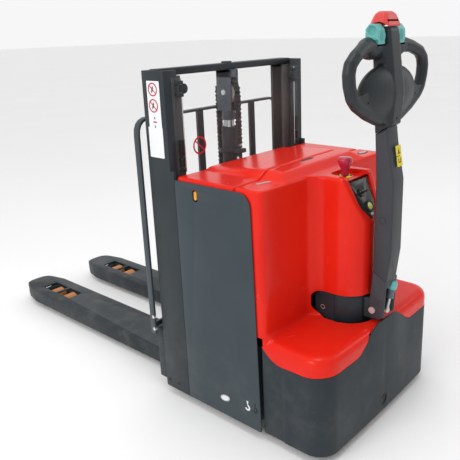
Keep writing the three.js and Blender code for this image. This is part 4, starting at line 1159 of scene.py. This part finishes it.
def slotLiner(name, side):
    bm = bmesh.new()
    slab(bm, rounded([
        (-0.842, 0.372, 0), (-0.842, 0.486, 0), (-0.762, 0.486, 0.01), (-0.762, 0.372, 0.01)], 3),
        "x", *sorted((side * 0.0889, side * 0.0905)))
    bmesh.ops.create_cone(
        bm, cap_ends=True, segments=6, radius1=0.0062, radius2=0.0062, depth=0.005,
        matrix=Matrix.Translation((side * 0.0925, -0.776, 0.456)) @ Matrix.Rotation(math.pi / 2, 4, "Y"))
    placed(asObject(name + "_slot_liner", bm), "chassis", materials["skirt"])
    bm = bmesh.new()
    turned(bm, [(0.0060, 0), (0.0085, 0), (0.0085, 0.0012), (0.0060, 0.0012), (0.0060, 0)], "x",
           (side * 0.0900 if side > 0 else -0.0912, -0.795, 0.415), 24)
    placed(asObject(name + "_liner_ring", bm), "chassis", materials["badge"])
    # a thin black disc inside the ring: painted shade for the dark inside of the hole in the liner
    bm = bmesh.new()
    cylinder(bm, "x", 0.0062, *sorted((side * 0.0904, side * 0.0908)), (-0.795, 0.415), 24)
    placed(asObject(name + "_liner_hole_painted_shade", bm), "chassis", materials["black"])


slotLiner("left", -1)
slotLiner("right", 1)
dressed("lift_rod", 0.0008, 2)
dressed("steer_slot_guard", 0.0008, 1, materials["skirt"])
frame["nodes"]["tiller_pin"].data.materials[0] = materials["zinc"]
print("slot made")

# chains

chainSizes = {"pitch": 0.0159, "plate": 0.0026, "depth": 0.0165, "rows": 9, "pin": 0.0030, "wheel": 0.0445}


def linkPlates(bm, place, odd):
    # one pitch of leaf chain: every second plate, shaped like an eight, then its pin
    s = chainSizes
    reach, half = s["pitch"] / 2, s["depth"] / 2
    rows = [i - (s["rows"] - 1) / 2 for i in range(s["rows"])]
    outline = []
    for way in (1, -1):
        for angle in (-70, -25, 25, 70):
            t = math.radians(angle)
            outline.append(Vector((way * half * math.sin(t), way * (reach + half * 0.75 * math.cos(t)))))
        outline.append(Vector((way * half * 0.42, 0)))
    for row in rows:
        if (round(row + 10) % 2 == 1) == odd:
            before = set(bm.verts)
            slab(bm, outline, "x", (row - 0.45) * s["plate"], (row + 0.45) * s["plate"])
            bmesh.ops.transform(bm, matrix=place, verts=list(set(bm.verts) - before))
    width = s["rows"] * s["plate"] / 2 + 0.001
    before = set(bm.verts)
    cylinder(bm, "x", s["pin"], -width, width, (0, reach), 8)
    bmesh.ops.transform(bm, matrix=place, verts=list(set(bm.verts) - before))


def chainRun(name, y, bottom, top):
    bm = bmesh.new()
    count = int((top - bottom) / chainSizes["pitch"])
    for i in range(count + 1):
        z = top - (i + 0.5) * chainSizes["pitch"]
        linkPlates(bm, Matrix.Translation((0, y, z)), i % 2 == 0)
    item = asObject(name + "_links", bm)
    item.data.materials.append(materials["chain"])
    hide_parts(name)
    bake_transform(item)
    return item


def chainOverWheel():
    radius = chainSizes["wheel"] + 0.005
    count = round(math.pi * radius / chainSizes["pitch"])
    bm = bmesh.new()
    for i in range(count):
        turn = math.pi * (i + 0.5) / count
        place = (Matrix.Translation((0, *wheelMiddle[1:])) @ Matrix.Rotation(turn, 4, "X")
                 @ Matrix.Translation((0, radius, 0)))
        linkPlates(bm, place, i % 2 == 1)
    return placed(asObject("lift_chain_over_wheel", bm), "inner_mast", materials["chain"])


def headBlock():
    # two cheek plates that hold the chain wheel, on a socket over the lift rod
    low, high = (Vector(v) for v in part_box("chain_head_block"))
    middle = (low.y + high.y) / 2
    bm = bmesh.new()
    for side in (-1, 1):
        x = sorted((side * high.x, side * (high.x - 0.0085)))
        block(bm, (x[0], low.y + 0.002, 1.066), (x[1], high.y - 0.002, high.z))
    block(bm, (low.x, low.y + 0.002, 1.190), (high.x, high.y - 0.002, high.z))
    item = softEdges(asObject("chain_head_cheeks", bm), 0.0012, 2, 40)
    placed(item, "inner_mast", materials["block"], ["chain_head_block"])
    bm = bmesh.new()
    turned(bm, [(0, 1.030), (0.0245, 1.030), (0.0260, 1.034), (0.0260, 1.060), (0.0235, 1.066), (0, 1.066)],
           "z", (0, middle, 0), 40)
    placed(asObject("chain_head_socket", bm), "inner_mast", materials["block"])
    bm = bmesh.new()
    for side in (-1, 1):
        ends = sorted((side * (high.x - 0.001), side * (high.x + 0.0025)))
        cylinder(bm, "x", 0.0105, *ends, middleOf("chain_wheel_pin")[1:], 32)
    item = softEdges(asObject("chain_pin_heads", bm), 0.0008)
    placed(item, "inner_mast", materials["zinc"])


wheelMiddle = middleOf("chain_wheel")
chainRun("lift_chain_front_run", wheelMiddle[1] + 0.0495, 0.251, wheelMiddle[2])
chainRun("lift_chain_rear_run", wheelMiddle[1] - 0.0495, 0.933, wheelMiddle[2])
chainOverWheel()
headBlock()
dressed("chain_wheel", 0.0008, 2, materials["zinc"])
print("chains made")

# mast details

def mastFittings():
    # clamps of the clear guard at both sides, and the shock stops below them
    for name, side in (("left", -1), ("right", 1)):
        bm = bmesh.new()
        for z in (1.158, 1.199):
            near, far = sorted((side * 0.306, side * 0.334))
            block(bm, (near, -0.380, z - 0.006), (far, -0.368, z + 0.006))
        cylinder(bm, "y", 0.017, -0.379, -0.369, (side * 0.302, 1.178), 28)
        cylinder(bm, "y", 0.008, -0.381, -0.368, (side * 0.302, 1.178), 20)
        item = softEdges(asObject(name + "_guard_clamp", bm), 0.0012, 2, 40)
        placed(item, "chassis", materials["mast"])
        bm = bmesh.new()
        near, far = sorted((side * 0.316, side * 0.334))
        block(bm, (near, -0.379, 0.952), (far, -0.368, 1.008))
        for low, high, radius in ((0.936, 0.946, 0.010), (0.915, 0.936, 0.0075), (0.897, 0.906, 0.010)):
            cylinder(bm, "z", radius, low, high, (side * 0.325, -0.3735), 24)
        item = softEdges(asObject(name + "_guard_stop", bm), 0.001, 2, 40)
        placed(item, "chassis", materials["black"])
        bm = bmesh.new()
        cylinder(bm, "z", 0.0022, 0.895, 1.212, (side * 0.312, -0.3745), 12)
        placed(asObject(name + "_guard_wire", bm), "chassis", materials["steel"])


def anchorBolt():
    # the threaded end of the rear chain run, held by two nuts
    bm = bmesh.new()
    y = wheelMiddle[1] - 0.0495
    turned(bm, [(0, 0.862)] + [(0.0052 if i % 2 else 0.0060, 0.862 + 0.0016 * i) for i in range(48)]
           + [(0, 0.862 + 0.0016 * 48)], "z", (0, y, 0), 16)
    for z in (0.873, 0.885):
        bmesh.ops.create_cone(bm, cap_ends=True, segments=6, radius1=0.0112, radius2=0.0112, depth=0.009,
                              matrix=Matrix.Translation((0, y, z)))
    placed(asObject("chain_anchor_bolt", bm), "chassis", materials["steel"])


def backrestBolts():
    for name, side in (("left", -1), ("right", 1)):
        bm = bmesh.new()
        for z in (0.270, 0.321):
            for radius, start, end, sides in ((0.0095, 0.386, 0.3885, 24), (0.0075, 0.3885, 0.3935, 6)):
                middle = (start + end) / 2 * side
                bmesh.ops.create_cone(
                    bm, cap_ends=True, segments=sides, radius1=radius, radius2=radius, depth=end - start,
                    matrix=Matrix.Translation((middle, -0.222, z)) @ Matrix.Rotation(math.pi / 2, 4, "Y"))
        placed(asObject(name + "_backrest_bolts", bm), "carriage", materials["zinc"])


mastFittings()
anchorBolt()
backrestBolts()
print("mast details made")

# plain pieces with softened edges

for node in (
        "chassis_frame", "left_outer_rail", "right_outer_rail", "mast_base_tie", "chain_anchor_bracket",
        "load_backrest", "carriage_frame", "drive_gearbox", "tiller_bracket",
        "mast_rear_tie", "lift_cylinder_tube", "left_inner_rail", "right_inner_rail",
        "inner_mast_top_beam", "left_fork", "right_fork",
        "left_support_leg", "right_support_leg"):
    dressed(node)
